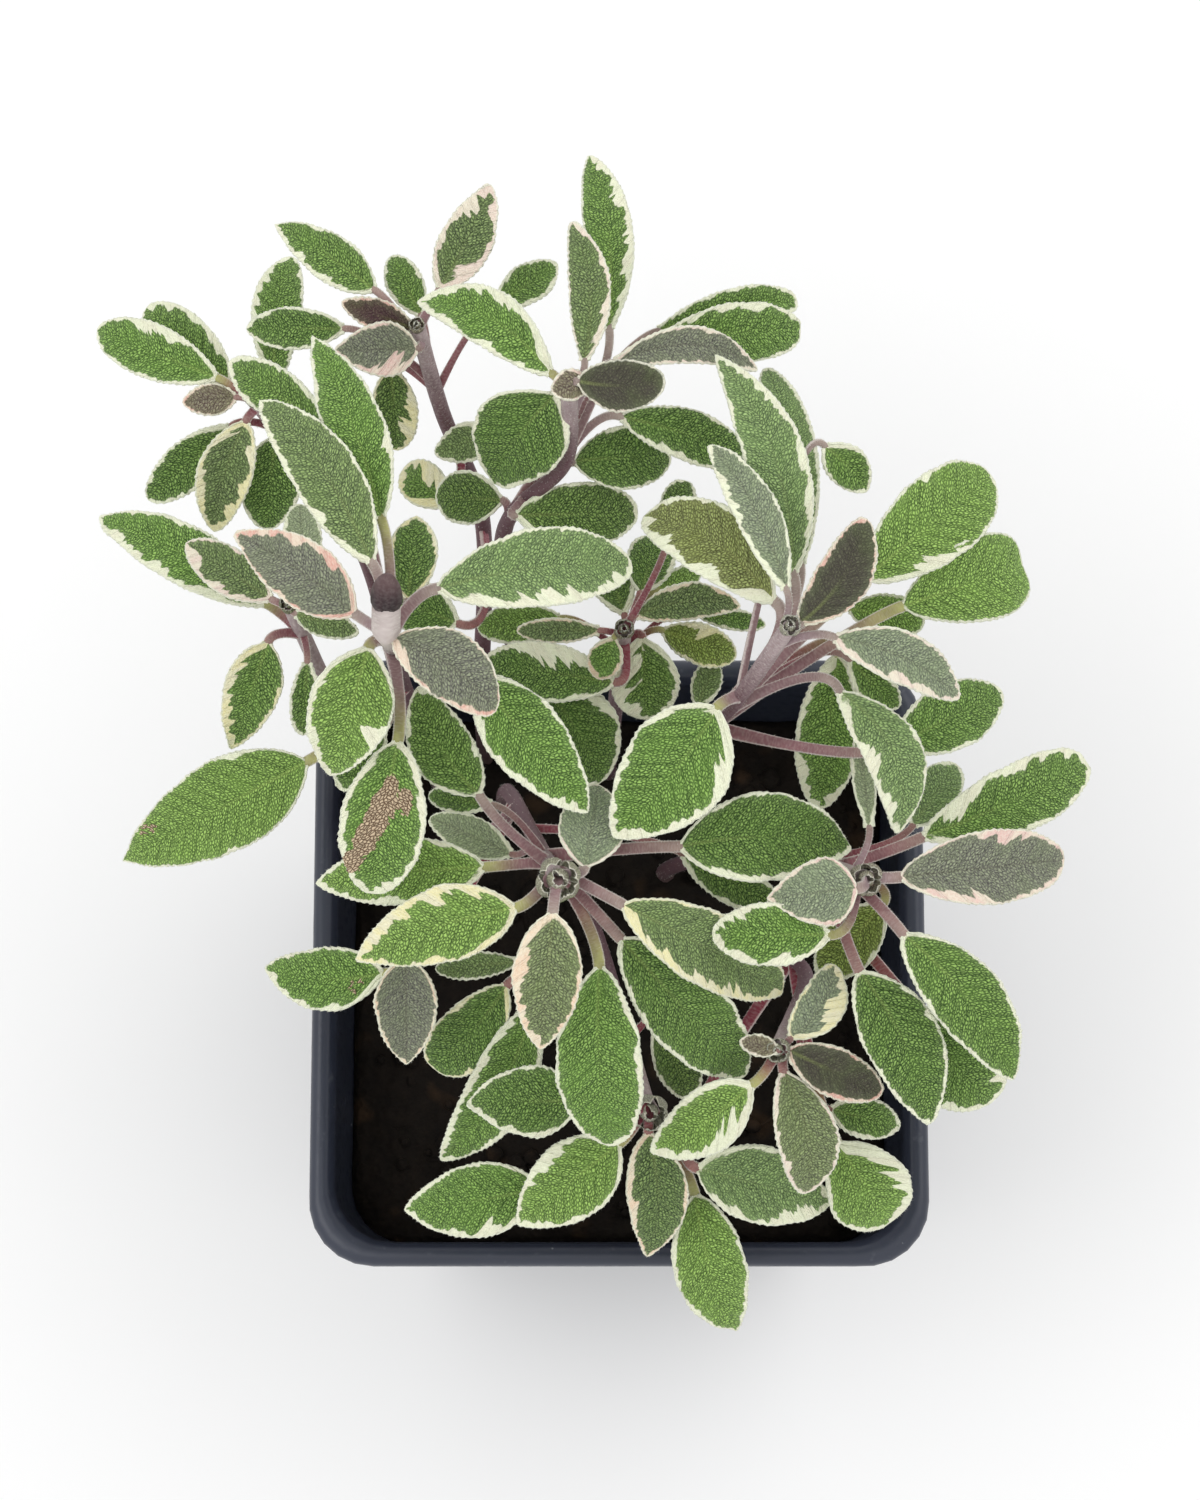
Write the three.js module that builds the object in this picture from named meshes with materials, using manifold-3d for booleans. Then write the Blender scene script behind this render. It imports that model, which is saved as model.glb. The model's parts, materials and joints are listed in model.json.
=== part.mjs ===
// Potted tricolor sage in millimetres: a square nursery pot, its soil and eleven leafy stems. +Z is up. The pot
// stands on z = 0 about the origin, and the side nearest the viewer faces -Y.
import * as THREE from "three";
import { mergeVertices } from "three/addons/utils/BufferGeometryUtils.js";
import Module from "manifold-3d";

const wasm = await Module();
wasm.setup();

// Pot
const RIM_HEIGHT = 115;
const RIM_SIDE = 125;
const RIM_CORNER = 13;
const RIM_BAND = 4.4;
const RIM_ROUND = 1.3;
const LIP_DEPTH = 12;
const LIP_STEP = 2.2;
const LIP_TAPER = 0.8;
const BASE_SIDE = 92;
const BASE_CORNER = 9;
const BASE_ROUND = 2.5;
const WALL = 1.6;
const FLOOR = 2.4;
const POT_CORNER_STEPS = 4;
const DRAIN_RADIUS = 5;
const DRAIN_OUT = 31;
const DRAIN_SIDES = 8;

// Soil
const SOIL_DROP = 28;
const SOIL_TOP = RIM_HEIGHT - SOIL_DROP;
const SOIL_GAP = 0.35;
const SOIL_EDGE = 1.5;
const SOIL_CORNER_STEPS = 3;
const SOIL_LUMP = 1.1;
const SOIL_DOME = 2.5;
const SOIL_RINGS = [0.86, 0.7, 0.52, 0.33, 0.15];
const STEM_DEPTH = 14;
const STEM_NECK = 6;
const HOLE_GAP = 0.5;
const HOLE_SIDES = 8;

// Stems, leaf stalks and blades
const STEM_BASE_RADIUS = 2.3;
const STEM_TIP_RADIUS = 1.5;
const STEM_SLIM = 0.6;
const STEM_SIDES = 6;
const STEM_RINGS = 8;
const STALK_RADIUS = 1.2;
const STALK_CLIMB = 0.3;
const STALK_DROP_COST = 1.5;
const STALK_STEPS = 100;
const STALK_REACH = 0.35;
const STALK_REACH_MOST = 9;
const LOWEST_STALK = 0.2;
const BLADE_THICK = 0.7;
const BLADE_NECK = 0.9;
const BLADE_BLUNT = 0.16;
const BLADE_FOLD = 0.16;
const BASE_FULLNESS = 0.58;
const TIP_FULLNESS = 0.62;
const TIP_TAPER = 2;
const USUAL_WIDEST = 0.45;
const EDGE_WAVE = 0.06;
const EDGE_LIFT = 0.7;
const SHORT_BLADE = 14;
const LONG_BLADE = 26;
const BUD_RADIUS = 2.4;

// Where the plant is looked at from. Leaves are laid out as they are seen from here: u to the right and v up,
// in millimetres on a plane through the middle of the rim that faces the viewer, and z above the rim.
const TILT = THREE.MathUtils.degToRad(12);
const PLANE_UP = new THREE.Vector3(0, Math.cos(TILT), Math.sin(TILT));
const EYE = new THREE.Vector3(-3.87, -125.1, RIM_HEIGHT + 791.3);

// Each stem starts in the soil at [x, y], may pass some points [u, v, z] and ends at its tip [u, v, z]. A leaf
// is [u, v, z of the blade's base, u, v, z of its tip, width as seen, bow to the right, arch, widest part along
// the blade].
const STEMS = {
  a: {
    soil: [-24, 36], by: [[-22, 33, 40], [-16.5, 23, 70]], tip: [-12.5, 16, 94],
    leaves: [
      [-28.5, 33, 91, -41, 55, 97, 13, -2, 2, 0.45],
      [-27.5, 18.3, 86, -61.8, 15, 76, 13.5, 0.5, 3, 0.38],
      [-21, 10, 92, -54, -0.5, 82, 15.5, 1.3, 3, 0.35],
      [-13.5, 9, 97, -16, -19, 88, 14, 0, 3, 0.4],
      [-4, -2, 84, -1, -38.8, 62, 17.5, 1.7, 4, 0.48],
      [0.5, 3.5, 84, 26, -24.5, 55, 16.5, 0, 4, 0.42],
      [1, 10.5, 90, 34, -7.5, 64, 15, -0.5, 3, 0.45],
      [12.5, 22.5, 86, 47.3, 22.5, 76, 18, -2, 3, 0.42],
      [-7, 18.5, 93, -4, 35.5, 88, 13.5, 0, 1, 0.4],
      [-22, 21, 70, -38.5, 28.5, 64, 8, 0, 1, 0.45],
      [13, 21, 70, 34, 9, 62, 9, 0, 1, 0.45],
      [-48, -3.3, 60, -72.3, -2.2, 50, 13, -1.8, 2, 0.38],
      [-26, 31, 84, -39, 33, 78, 5.5, 0, 1, 0.5],
      [-43.5, 0, 62, -43.3, -22, 50, 12.5, 0, 2, 0.36],
    ],
  },
  b: {
    soil: [-34, 30], by: [[-44, 56, 60]], tip: [-47.5, 66.5, 124],
    leaves: [
      [-48.5, 89.5, 117, -62.5, 127, 104, 12.5, 1.3, 3, 0.34],
      [-50.5, 80.5, 120, -73.5, 113.8, 108, 13.5, 2.5, 3, 0.4],
      [-54, 70, 121, -78.5, 86.5, 116, 13.5, 1, 2, 0.36],
      [-37, 75, 118, 3, 79.5, 106, 16, -2, 4, 0.5],
      [-46, 65, 123, -25, 50, 120, 13.7, -2.2, 2, 0.5],
      [-51, 63, 115, -59, 36.5, 103, 17, 0, 3, 0.38],
      [-45, 44, 104, -50, 12.7, 90, 17.3, 0.5, 3, 0.5],
      [-63.8, 39.7, 66, -101.5, 19.3, 46, 18.6, 0, 3, 0.34],
      [-29, 57, 106, -6.3, 29.3, 96, 15.5, 0, 2, 0.4],
      [-43, 73, 112, -41.2, 90, 106, 10, 0, 1, 0.45],
      [-60, 108, 98, -79.5, 121.5, 90, 10, 0, 2, 0.45],
      [-48, 46, 98, -57, 34, 92, 8, 0, 1, 0.5],
    ],
  },
  c: {
    soil: [-4, 28], by: [[8, 40, 30], [22.5, 50.5, 92]], tip: [34.5, 67, 118],
    leaves: [
      [34, 75, 117, 18.5, 104.5, 110, 9, 2, 2, 0.45],
      [37, 68, 119, 50.5, 89.3, 125, 11, 2.3, 1, 0.5],
      [44, 65, 116, 69.5, 52.5, 106, 10.5, -2.5, 2, 0.45],
      [50, 77, 98, 76, 98.5, 88, 17.5, 0, 3, 0.52],
      [58, 71.5, 94, 83, 80, 84, 17, 0, 3, 0.6],
      [31.5, 72.5, 108, 4.5, 90, 98, 14.5, 3.5, 3, 0.5],
      [35.5, 78, 108, 19.5, 123, 104, 12.5, 4.4, 4, 0.38],
      [37, 80, 95, 30, 120.5, 80, 10, 2.2, 3, 0.5],
      [42, 104, 110, 50.5, 94.6, 102, 8.5, -0.7, 1, 0.4],
      [45, 54, 98, 57, 25, 86, 12, -5.3, 3, 0.45],
      [44.5, 61.5, 74, 40.8, 30, 62, 13, 0, 2, 0.5],
      [47, 60.5, 78, 57, 50.5, 72, 7.5, 0, 1, 0.45],
      [56, 43, 88, 78.3, 54.3, 76, 13.5, 0, 2, 0.45],
      [20, 50.8, 100, -1.2, 24.3, 94, 21.5, -1.3, 2, 0.4],
      [47, 71, 86, 62.5, 68, 80, 9, 0, 1, 0.5],
    ],
  },
  d: {
    soil: [-16, 46], by: [[-23, 88, 76], [-11, 101, 98]], tip: [-10, 115, 113],
    leaves: [
      [-14, 119, 112, -41, 133.5, 102, 11.5, 4, 3, 0.42],
      [-7, 121.5, 114, -9.5, 150, 112, 8.5, 2.3, 2, 0.45],
      [-2, 128, 102, -6, 163.5, 90, 10, 2, 3, 0.45],
      [-13, 114.5, 110, -25.6, 96.2, 90, 19.5, 1.5, 3, 0.33],
      [-8.5, 117.3, 116, 9.2, 117, 118, 10.5, 0.8, 1, 0.54],
      [-1, 121, 110, 28.5, 119.5, 94, 7.5, -4.5, 2, 0.45],
      [8, 127.5, 90, 36.5, 133.7, 80, 8, -1.3, 2, 0.58],
      [9, 126, 93, 37.2, 127.5, 84, 12, -0.5, 3, 0.55],
      [0.5, 110, 98, 27, 100, 84, 10.5, -1.4, 3, 0.45],
      [-9, 101, 92, 11, 101.5, 84, 13, -0.5, 2, 0.45],
      [-24, 93, 80, -37.5, 94, 72, 11, 0, 1, 0.45],
      [-21, 90, 88, 4, 90.5, 80, 13, 0, 3, 0.5],
      [-6.5, 118, 114, -13.5, 115, 117, 6.5, 0, 0.5, 0.5],
    ],
  },
  e: {
    soil: [-28, 48], by: [[-28, 55.5, 12], [-28, 90, 42], [-36, 111, 66]], tip: [-41, 128, 84],
    leaves: [
      [-42, 128, 84, -56.5, 133.5, 88, 6.5, 0, 1, 0.45],
      [-41, 124, 84, -58, 123.5, 84, 11, 0, 1, 0.35],
      [-50, 136, 82, -70.5, 149.5, 72, 9.5, 0.6, 2, 0.32],
      [-56, 128, 78, -76, 128, 70, 8.5, 0, 2, 0.45],
      [-40.5, 131, 78, -46.5, 143, 72, 7.5, 0, 1, 0.45],
      [-36.5, 136, 86, -26, 157.3, 90, 10.7, 0.5, 1, 0.42],
      [-25, 133, 76, -12.5, 141, 68, 8, 0, 1, 0.45],
      [-46.5, 120, 74, -45, 103, 62, 9.5, 0, 1, 0.5],
      [-26.5, 106.5, 62, -37.5, 102.5, 66, 8, 0, 1, 0.45],
      [-33, 68, 60, -46, 73, 56, 11, 0, 1, 0.5],
      [-35, 92, 60, -44, 100, 56, 9, 0, 1, 0.5],
    ],
  },
  f: {
    soil: [10, 22], by: [[30, 22, 40]], tip: [50, 16, 86],
    leaves: [
      [57.5, 16.3, 86, 91.3, 20, 78, 15, 0, 3, 0.52],
      [62, 24.5, 78, 95.5, 40, 66, 14, 1, 3, 0.55],
      [48.5, 14, 91, 30, 12, 88, 14, 0, 1, 0.3],
      [43, 4.5, 87, 18.8, 4.7, 84, 13, 0, 2, 0.5],
      [49, -3, 74, 63.5, -34, 62, 15.5, -2.2, 3, 0.42],
      [58, 4.5, 82, 80.5, -25, 66, 14.5, -2.5, 3, 0.42],
      [61, -11, 62, 77.5, -29, 52, 17, 2, 2, 0.5],
      [53.5, 10.5, 68, 40.5, -4.5, 58, 11.5, 0, 1, 0.45],
      [51, 26.5, 84, 48.8, 45.5, 82, 4.5, 0, 1, 0.5],
      [60, 27, 68, 68.7, 39.5, 60, 9, 0, 1, 0.5],
    ],
  },
  g: {
    soil: [24, 6], by: [[38, -4, 44]], tip: [32.5, -18.5, 66],
    leaves: [
      [32.5, -19, 68, 24.5, -17, 68, 4.6, 0, 0.5, 0.45],
      [35, -16.5, 67, 44, -1.5, 69, 9.5, 2, 1, 0.5],
      [34.5, -19, 67, 53.6, -28, 65, 10, 0, 1, 0.5],
      [33.5, -23.5, 64, 38, -48.5, 50, 12.5, -2.5, 3, 0.46],
      [27, -26, 64, 6, -40, 52, 13, -1.2, 2, 0.36],
      [16, -43, 42, 43.5, -50.3, 36, 15.5, 0, 2, 0.42],
      [44.5, -38, 42, 55.5, -54.5, 30, 17, 0, 2, 0.5],
      [43, -31, 52, 57.5, -34.5, 46, 8.5, 0, 1, 0.45],
    ],
  },
  h: {
    soil: [-8, 18], by: [[-3.5, 1, 20]], tip: [6, -31, 44],
    leaves: [
      [6, -36, 44, 5.8, -61, 28, 12.3, -2, 3, 0.36],
      [0, -38, 44, -20.8, -54.5, 34, 16, 0, 3, 0.36],
      [-16, -47, 34, -43.7, -51.5, 22, 14.8, -0.5, 3, 0.36],
      [15.5, -48.5, 32, 24, -76.8, 12, 14.5, 1.4, 4, 0.36],
      [-8, -29.3, 54, -31.3, -29.5, 46, 14.5, 0, 2, 0.33],
      [-17.5, -10, 50, -36.5, -41.7, 28, 13, -3, 3, 0.4],
      [-23, -6, 50, -38, -22.7, 38, 13, -1, 2, 0.55],
      [-21, -1, 52, -37.5, -2.5, 48, 5.5, 0, 1, 0.5],
      [8, -13, 38, 15, -29, 28, 9, 0, 1, 0.5],
    ],
  },
  i: {
    soil: [-2, 44], by: [], tip: [1, 66.5, 62],
    leaves: [
      [-4, 66.5, 62, -21, 66.5, 58, 5, 0, 1, 0.5],
      [3.5, 69.5, 64, 25, 71.5, 60, 7.5, -2, 1, 0.45],
      [4.5, 74.5, 60, 8, 86, 54, 10, 0, 1, 0.5],
      [8, 75, 56, 16.8, 78.5, 52, 5, 0, 0.5, 0.5],
      [15, 70.5, 48, 30, 67.5, 44, 4.5, 0, 1, 0.5],
      [9, 66.5, 52, 24, 61, 46, 8.5, 0, 1, 0.5],
      [4.5, 65, 56, 6, 48, 48, 14, 0, 2, 0.5],
      [-17, 56, 50, -4, 35, 42, 17, -2, 2, 0.5],
      [-1, 56, 60, -28, 60, 54, 12, 0, 1, 0.5],
      [16, 51, 46, 19.5, 60.5, 44, 6, 0, 0.5, 0.5],
      [-12, 69, 52, -29, 67, 46, 8, 0, 1, 0.5],
      [1, 70, 54, -3, 82, 48, 9, 0, 1, 0.5],
      [10, 85, 68, 13.3, 97.3, 66, 7, 0, 1, 0.55],
      [-1, 65, 63, -4.5, 56.5, 60, 7, 0, 1, 0.5],
    ],
  },
  j: {
    soil: [-44, 22], by: [], tip: [-67, 71.5, 80],
    leaves: [
      [-72, 72, 72, -106, 89.5, 60, 12, 1.3, 3, 0.42],
      [-71, 73, 80, -88.5, 84.5, 76, 9.5, 0, 1, 0.45],
      [-66, 70, 82, -53, 66, 82, 6, 0, 0.5, 0.45],
      [-71.5, 64, 74, -79, 42, 60, 11.5, 0, 2, 0.33],
      [-63.5, 60, 74, -64.4, 45, 66, 6, 0, 1, 0.5],
      [-64, 76, 76, -65, 92.5, 72, 8, 0, 1, 0.5],
    ],
  },
  k: {
    soil: [-38, 42], by: [[-44, 54, 12], [-52, 82, 36], [-62, 98, 50]], tip: [-74, 113, 68],
    leaves: [
      [-82, 118, 70, -106.5, 128, 62, 11, 0, 2, 0.5],
      [-79, 117, 64, -96.5, 132.5, 56, 11, 0, 2, 0.5],
      [-78, 114, 70, -89, 113, 70, 6.5, 0, 0.5, 0.45],
      [-70, 117, 66, -66.8, 143, 58, 10, -1.5, 2, 0.5],
      [-79, 108, 64, -96, 93, 56, 9.5, 0, 1, 0.5],
      [-76, 109, 68, -82.5, 86.5, 60, 11, 1.2, 2, 0.45],
      [-70, 106, 62, -72, 87, 56, 12, 0, 1, 0.5],
    ],
  },
};

// Repeatable random numbers from 0 to 1
function seeded(seed) {
  const factor = 16807;
  const limit = 2 ** 31 - 1;
  let state = seed;
  return () => {
    state = (state * factor) % limit;
    return state / limit;
  };
}

// A point at height z above the rim, on the line of sight through (u, v)
function sight(u, v, z) {
  const seen = new THREE.Vector3(u, 0, RIM_HEIGHT).addScaledVector(PLANE_UP, v);
  const height = RIM_HEIGHT + z;
  return EYE.clone().lerp(seen, (EYE.z - height) / (EYE.z - seen.z));
}

function solid(geometry) {
  const bare = geometry.clone();
  bare.deleteAttribute("normal");
  bare.deleteAttribute("uv");
  const welded = mergeVertices(bare, 1e-4);
  return new wasm.Manifold(new wasm.Mesh({
    numProp: 3,
    vertProperties: new Float32Array(welded.attributes.position.array),
    triVerts: new Uint32Array(welded.index.array),
  }));
}

// A closed body from rings of equally many points, capped at both ends
function skin(rings) {
  const count = rings[0].length;
  const points = rings.flat();
  const faces = [];
  for (let ring = 0; ring + 1 < rings.length; ring += 1) {
    for (let i = 0; i < count; i += 1) {
      const next = (i + 1) % count;
      const low = ring * count;
      const high = low + count;
      faces.push(low + i, low + next, high + next, low + i, high + next, high + i);
    }
  }
  const last = (rings.length - 1) * count;
  for (let i = 1; i + 1 < count; i += 1) {
    faces.push(0, i + 1, i, last, last + i, last + i + 1);
  }
  const geometry = new THREE.BufferGeometry().setFromPoints(points);
  geometry.setIndex(faces);
  return solid(geometry);
}

// A square ring with round corners, counterclockwise from above
function squareRing(side, corner, z, steps) {
  const inner = side / 2 - corner;
  const ring = [];
  for (let quarter = 0; quarter < 4; quarter += 1) {
    const middle = Math.PI / 4 + (quarter * Math.PI) / 2;
    const x = Math.sign(Math.cos(middle)) * inner;
    const y = Math.sign(Math.sin(middle)) * inner;
    for (let step = 0; step <= steps; step += 1) {
      const angle = (quarter + step / steps) * (Math.PI / 2);
      ring.push(new THREE.Vector3(x + corner * Math.cos(angle), y + corner * Math.sin(angle), z));
    }
  }
  return ring;
}

// Side of the pot's outer wall, lip left out, at height z
function wallSide(z) {
  const underLip = RIM_SIDE - 2 * (LIP_STEP + LIP_TAPER);
  return THREE.MathUtils.lerp(BASE_SIDE, underLip, z / (RIM_HEIGHT - LIP_DEPTH));
}

function cornerAt(side) {
  return THREE.MathUtils.mapLinear(side, BASE_SIDE, RIM_SIDE, BASE_CORNER, RIM_CORNER);
}

function makePot() {
  const lipUnder = RIM_HEIGHT - LIP_DEPTH;
  const innerSide = RIM_SIDE - 2 * RIM_BAND;
  const outline = [
    [BASE_SIDE - 2 * BASE_ROUND, 0],
    [BASE_SIDE - 0.6 * BASE_ROUND, 0.3 * BASE_ROUND],
    [wallSide(BASE_ROUND), BASE_ROUND],
    [wallSide(lipUnder), lipUnder],
    [RIM_SIDE - 2 * LIP_TAPER, lipUnder],
    [RIM_SIDE, RIM_HEIGHT - 1.6 * RIM_ROUND],
    [RIM_SIDE - 0.6 * RIM_ROUND, RIM_HEIGHT - 0.5 * RIM_ROUND],
    [RIM_SIDE - 2 * RIM_ROUND, RIM_HEIGHT],
    [innerSide + 2 * RIM_ROUND, RIM_HEIGHT],
    [innerSide + 0.6 * RIM_ROUND, RIM_HEIGHT - 0.6 * RIM_ROUND],
    [innerSide, RIM_HEIGHT - 2 * RIM_ROUND],
    [wallSide(lipUnder) - 2 * WALL, lipUnder],
    [wallSide(FLOOR) - 2 * WALL, FLOOR],
  ];
  let pot = skin(outline.map(([side, z]) => squareRing(side, cornerAt(side), z, POT_CORNER_STEPS)));
  for (const x of [-DRAIN_OUT, 0, DRAIN_OUT]) {
    for (const y of [-DRAIN_OUT, 0, DRAIN_OUT]) {
      if (x !== 0 || y !== 0) {
        const drain = new THREE.CylinderGeometry(DRAIN_RADIUS, DRAIN_RADIUS, 4 * FLOOR, DRAIN_SIDES);
        drain.rotateX(Math.PI / 2).translate(x, y, FLOOR / 2);
        pot = pot.subtract(solid(drain));
      }
    }
  }
  return pot;
}

function makeSoil() {
  const draw = seeded(41);
  const floorSide = wallSide(FLOOR) - 2 * WALL - 2 * SOIL_GAP;
  const edgeSide = wallSide(SOIL_TOP - SOIL_EDGE) - 2 * WALL - 2 * SOIL_GAP;
  const rings = [
    squareRing(floorSide, cornerAt(floorSide), FLOOR + SOIL_GAP, SOIL_CORNER_STEPS),
    squareRing(edgeSide, cornerAt(edgeSide), SOIL_TOP - SOIL_EDGE, SOIL_CORNER_STEPS),
  ];
  for (const share of SOIL_RINGS) {
    const ring = squareRing(edgeSide * share, cornerAt(edgeSide) * share, SOIL_TOP, SOIL_CORNER_STEPS);
    const rise = SOIL_DOME * (1 - share);
    rings.push(ring.map((point) => point.setZ(SOIL_TOP + rise + SOIL_LUMP * (draw() - 0.5))));
  }
  let soil = skin(rings);
  for (const stem of Object.values(STEMS)) {
    const radius = STEM_BASE_RADIUS + HOLE_GAP;
    const hole = new THREE.CylinderGeometry(radius, radius, 2 * STEM_DEPTH, HOLE_SIDES);
    hole.rotateX(Math.PI / 2).translate(stem.soil[0], stem.soil[1], SOIL_TOP);
    soil = soil.subtract(solid(hole));
  }
  return soil;
}

// The line of a stem from inside its hole to its tip
function stemLine(stem) {
  const [x, y] = stem.soil;
  const foot = new THREE.Vector3(x, y, SOIL_TOP - STEM_DEPTH + HOLE_GAP);
  const collar = new THREE.Vector3(x, y, SOIL_TOP);
  const neck = new THREE.Vector3(x, y, SOIL_TOP + STEM_NECK);
  const rest = [...stem.by, stem.tip].map((point) => sight(...point));
  return new THREE.CatmullRomCurve3([foot, collar, neck, ...rest], false, "centripetal");
}

function tube(points, radii, sides) {
  const line = points.length > 2 ? new THREE.CatmullRomCurve3(points) : new THREE.LineCurve3(...points);
  const frames = line.computeFrenetFrames(points.length - 1, false);
  const rings = points.map((point, i) => {
    const ring = [];
    for (let side = 0; side < sides; side += 1) {
      const angle = (side / sides) * 2 * Math.PI;
      const spot = point.clone();
      spot.addScaledVector(frames.normals[i], radii[i] * Math.cos(angle));
      spot.addScaledVector(frames.binormals[i], radii[i] * Math.sin(angle));
      ring.push(spot);
    }
    return ring;
  });
  return skin(rings);
}

// Half the width of a blade at t along it, as a share of half its full width. The tip of a blade that is widest
// near its base is the more pointed one.
function bladeShape(t, widest) {
  if (t < widest) {
    return Math.sin((Math.PI / 2) * (t / widest)) ** BASE_FULLNESS;
  }
  const fullness = TIP_FULLNESS + TIP_TAPER * (USUAL_WIDEST - widest);
  return Math.cos((Math.PI / 2) * ((t - widest) / (1 - widest))) ** fullness;
}

// A leaf row as a blade in space: where it runs, which way is sideways and how wide it is
function placeBlade(row) {
  const [baseU, baseV, baseZ, tipU, tipV, tipZ, seenWidth, bow, arch, widest] = row;
  const base = sight(baseU, baseV, baseZ);
  const tip = sight(tipU, tipV, tipZ);
  const along = tip.clone().sub(base);
  const length = along.length();
  along.normalize();
  const middle = base.clone().lerp(tip, 0.5);
  const toEye = EYE.clone().sub(middle);
  const nearness = toEye.length() / EYE.distanceTo(new THREE.Vector3(0, 0, RIM_HEIGHT));
  const side = along.clone().cross(toEye).normalize();
  const up = side.clone().cross(along);
  const halfWidth = (seenWidth / 2) * nearness;
  return { base, tip, along, side, up, length, halfWidth, bow: bow * nearness, arch, widest };
}

function bladePoint(blade, t, across) {
  const swell = 4 * t * (1 - t);
  const least = t < 0.5 ? BLADE_NECK : BLADE_BLUNT * blade.halfWidth;
  const reach = Math.max(blade.halfWidth * bladeShape(t, blade.widest), least);
  const point = blade.base.clone().lerp(blade.tip, t);
  point.addScaledVector(blade.up, blade.arch * swell + BLADE_FOLD * reach * Math.abs(across));
  point.addScaledVector(blade.side, blade.bow * swell + reach * across);
  return point;
}

// A ring of six points across a blade, three below and three above
function bladeRing(blade, t, draw) {
  const top = [-1, 0, 1].map((across) => {
    const point = bladePoint(blade, t, across * (1 + EDGE_WAVE * (draw() - 0.5)));
    return point.addScaledVector(blade.up, Math.abs(across) * EDGE_LIFT * (draw() - 0.5));
  });
  const bottom = top.map((point) => point.clone().addScaledVector(blade.up, -BLADE_THICK));
  return [...bottom, ...top.reverse()];
}

// A ring of six points round a stalk, turned as the blade it carries
function stalkRing(bend, share, blade) {
  const turn = new THREE.Quaternion().setFromUnitVectors(blade.along, bend.getTangent(share));
  const side = blade.side.clone().applyQuaternion(turn);
  const up = blade.up.clone().applyQuaternion(turn);
  return [210, 270, 330, 30, 90, 150].map((degrees) => {
    const angle = THREE.MathUtils.degToRad(degrees);
    const point = bend.getPoint(share).addScaledVector(side, STALK_RADIUS * Math.cos(angle));
    return point.addScaledVector(up, STALK_RADIUS * Math.sin(angle));
  });
}

// The point of a stem's line at which a stalk leaves for a blade base: near it, and low enough to climb
function stalkRoot(line, base) {
  const cost = (point) => {
    const away = Math.hypot(base.x - point.x, base.y - point.y);
    const tooHigh = Math.max(0, point.z - (base.z - STALK_CLIMB * away));
    return base.distanceTo(point) + STALK_DROP_COST * tooHigh;
  };
  let root = line.getPoint(1);
  for (let step = LOWEST_STALK * STALK_STEPS; step < STALK_STEPS; step += 1) {
    const point = line.getPoint(step / STALK_STEPS);
    root = cost(point) < cost(root) ? point : root;
  }
  return root;
}

// A leaf as one body: its stalk from inside the stem, and its blade
function makeLeaf(line, blade, draw) {
  const root = stalkRoot(line, blade.base);
  const reach = Math.min(STALK_REACH * root.distanceTo(blade.base), STALK_REACH_MOST);
  const lead = blade.base.clone().addScaledVector(blade.along, -reach);
  const bend = new THREE.QuadraticBezierCurve3(root, lead, blade.base);
  const rings = [0, 0.5].map((share) => stalkRing(bend, share, blade));
  const parts = blade.length > LONG_BLADE ? 5 : blade.length > SHORT_BLADE ? 4 : 3;
  for (let i = 0; i <= parts; i += 1) {
    rings.push(bladeRing(blade, 0.5 - 0.5 * Math.cos((Math.PI * i) / parts), draw));
  }
  return skinAlike(rings);
}

// A closed strip from rings of six points, three below and three above, with both faces split alike
function skinAlike(rings) {
  const faces = [];
  const quad = (a, b, c, d) => faces.push(a, b, c, a, c, d);
  const flipped = (a, b, c, d) => faces.push(a, b, d, b, c, d);
  for (let ring = 0; ring + 1 < rings.length; ring += 1) {
    const near = ring * 6;
    const far = near + 6;
    flipped(near, far, far + 1, near + 1);
    flipped(near + 1, far + 1, far + 2, near + 2);
    quad(near + 2, far + 2, far + 3, near + 3);
    quad(near + 3, far + 3, far + 4, near + 4);
    quad(near + 4, far + 4, far + 5, near + 5);
    quad(near + 5, far + 5, far, near);
  }
  const last = (rings.length - 1) * 6;
  quad(0, 1, 4, 5);
  quad(1, 2, 3, 4);
  quad(last, last + 5, last + 4, last + 1);
  quad(last + 1, last + 4, last + 3, last + 2);
  const geometry = new THREE.BufferGeometry().setFromPoints(rings.flat());
  geometry.setIndex(faces);
  return solid(geometry);
}

function makeStem(stem, seed) {
  const draw = seeded(seed);
  const line = stemLine(stem);
  const points = line.getSpacedPoints(STEM_RINGS);
  const radii = points.map((point, i) => {
    return THREE.MathUtils.lerp(STEM_BASE_RADIUS, STEM_TIP_RADIUS, Math.min(1, i / STEM_RINGS / STEM_SLIM));
  });
  const bud = new THREE.IcosahedronGeometry(BUD_RADIUS, 0).translate(...line.getPoint(1));
  const leaves = stem.leaves.map((row) => makeLeaf(line, placeBlade(row), draw));
  return whole(wasm.Manifold.union([tube(points, radii, STEM_SIDES), solid(bud), ...leaves]));
}

// The largest body of a fused one, without the skins of hollows that fusing closed
function whole(fused) {
  const bodies = fused.decompose();
  return bodies.reduce((best, body) => (body.volume() > best.volume() ? body : best));
}

function asMesh(name, body, color, roughness) {
  const { vertProperties, triVerts } = body.getMesh();
  const geometry = new THREE.BufferGeometry();
  geometry.setAttribute("position", new THREE.BufferAttribute(new Float32Array(vertProperties), 3));
  geometry.setIndex(new THREE.BufferAttribute(new Uint32Array(triVerts), 1));
  geometry.computeVertexNormals();
  const material = new THREE.MeshStandardMaterial({ color, roughness, metalness: 0 });
  const mesh = new THREE.Mesh(geometry, material);
  mesh.name = name;
  return mesh;
}

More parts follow.
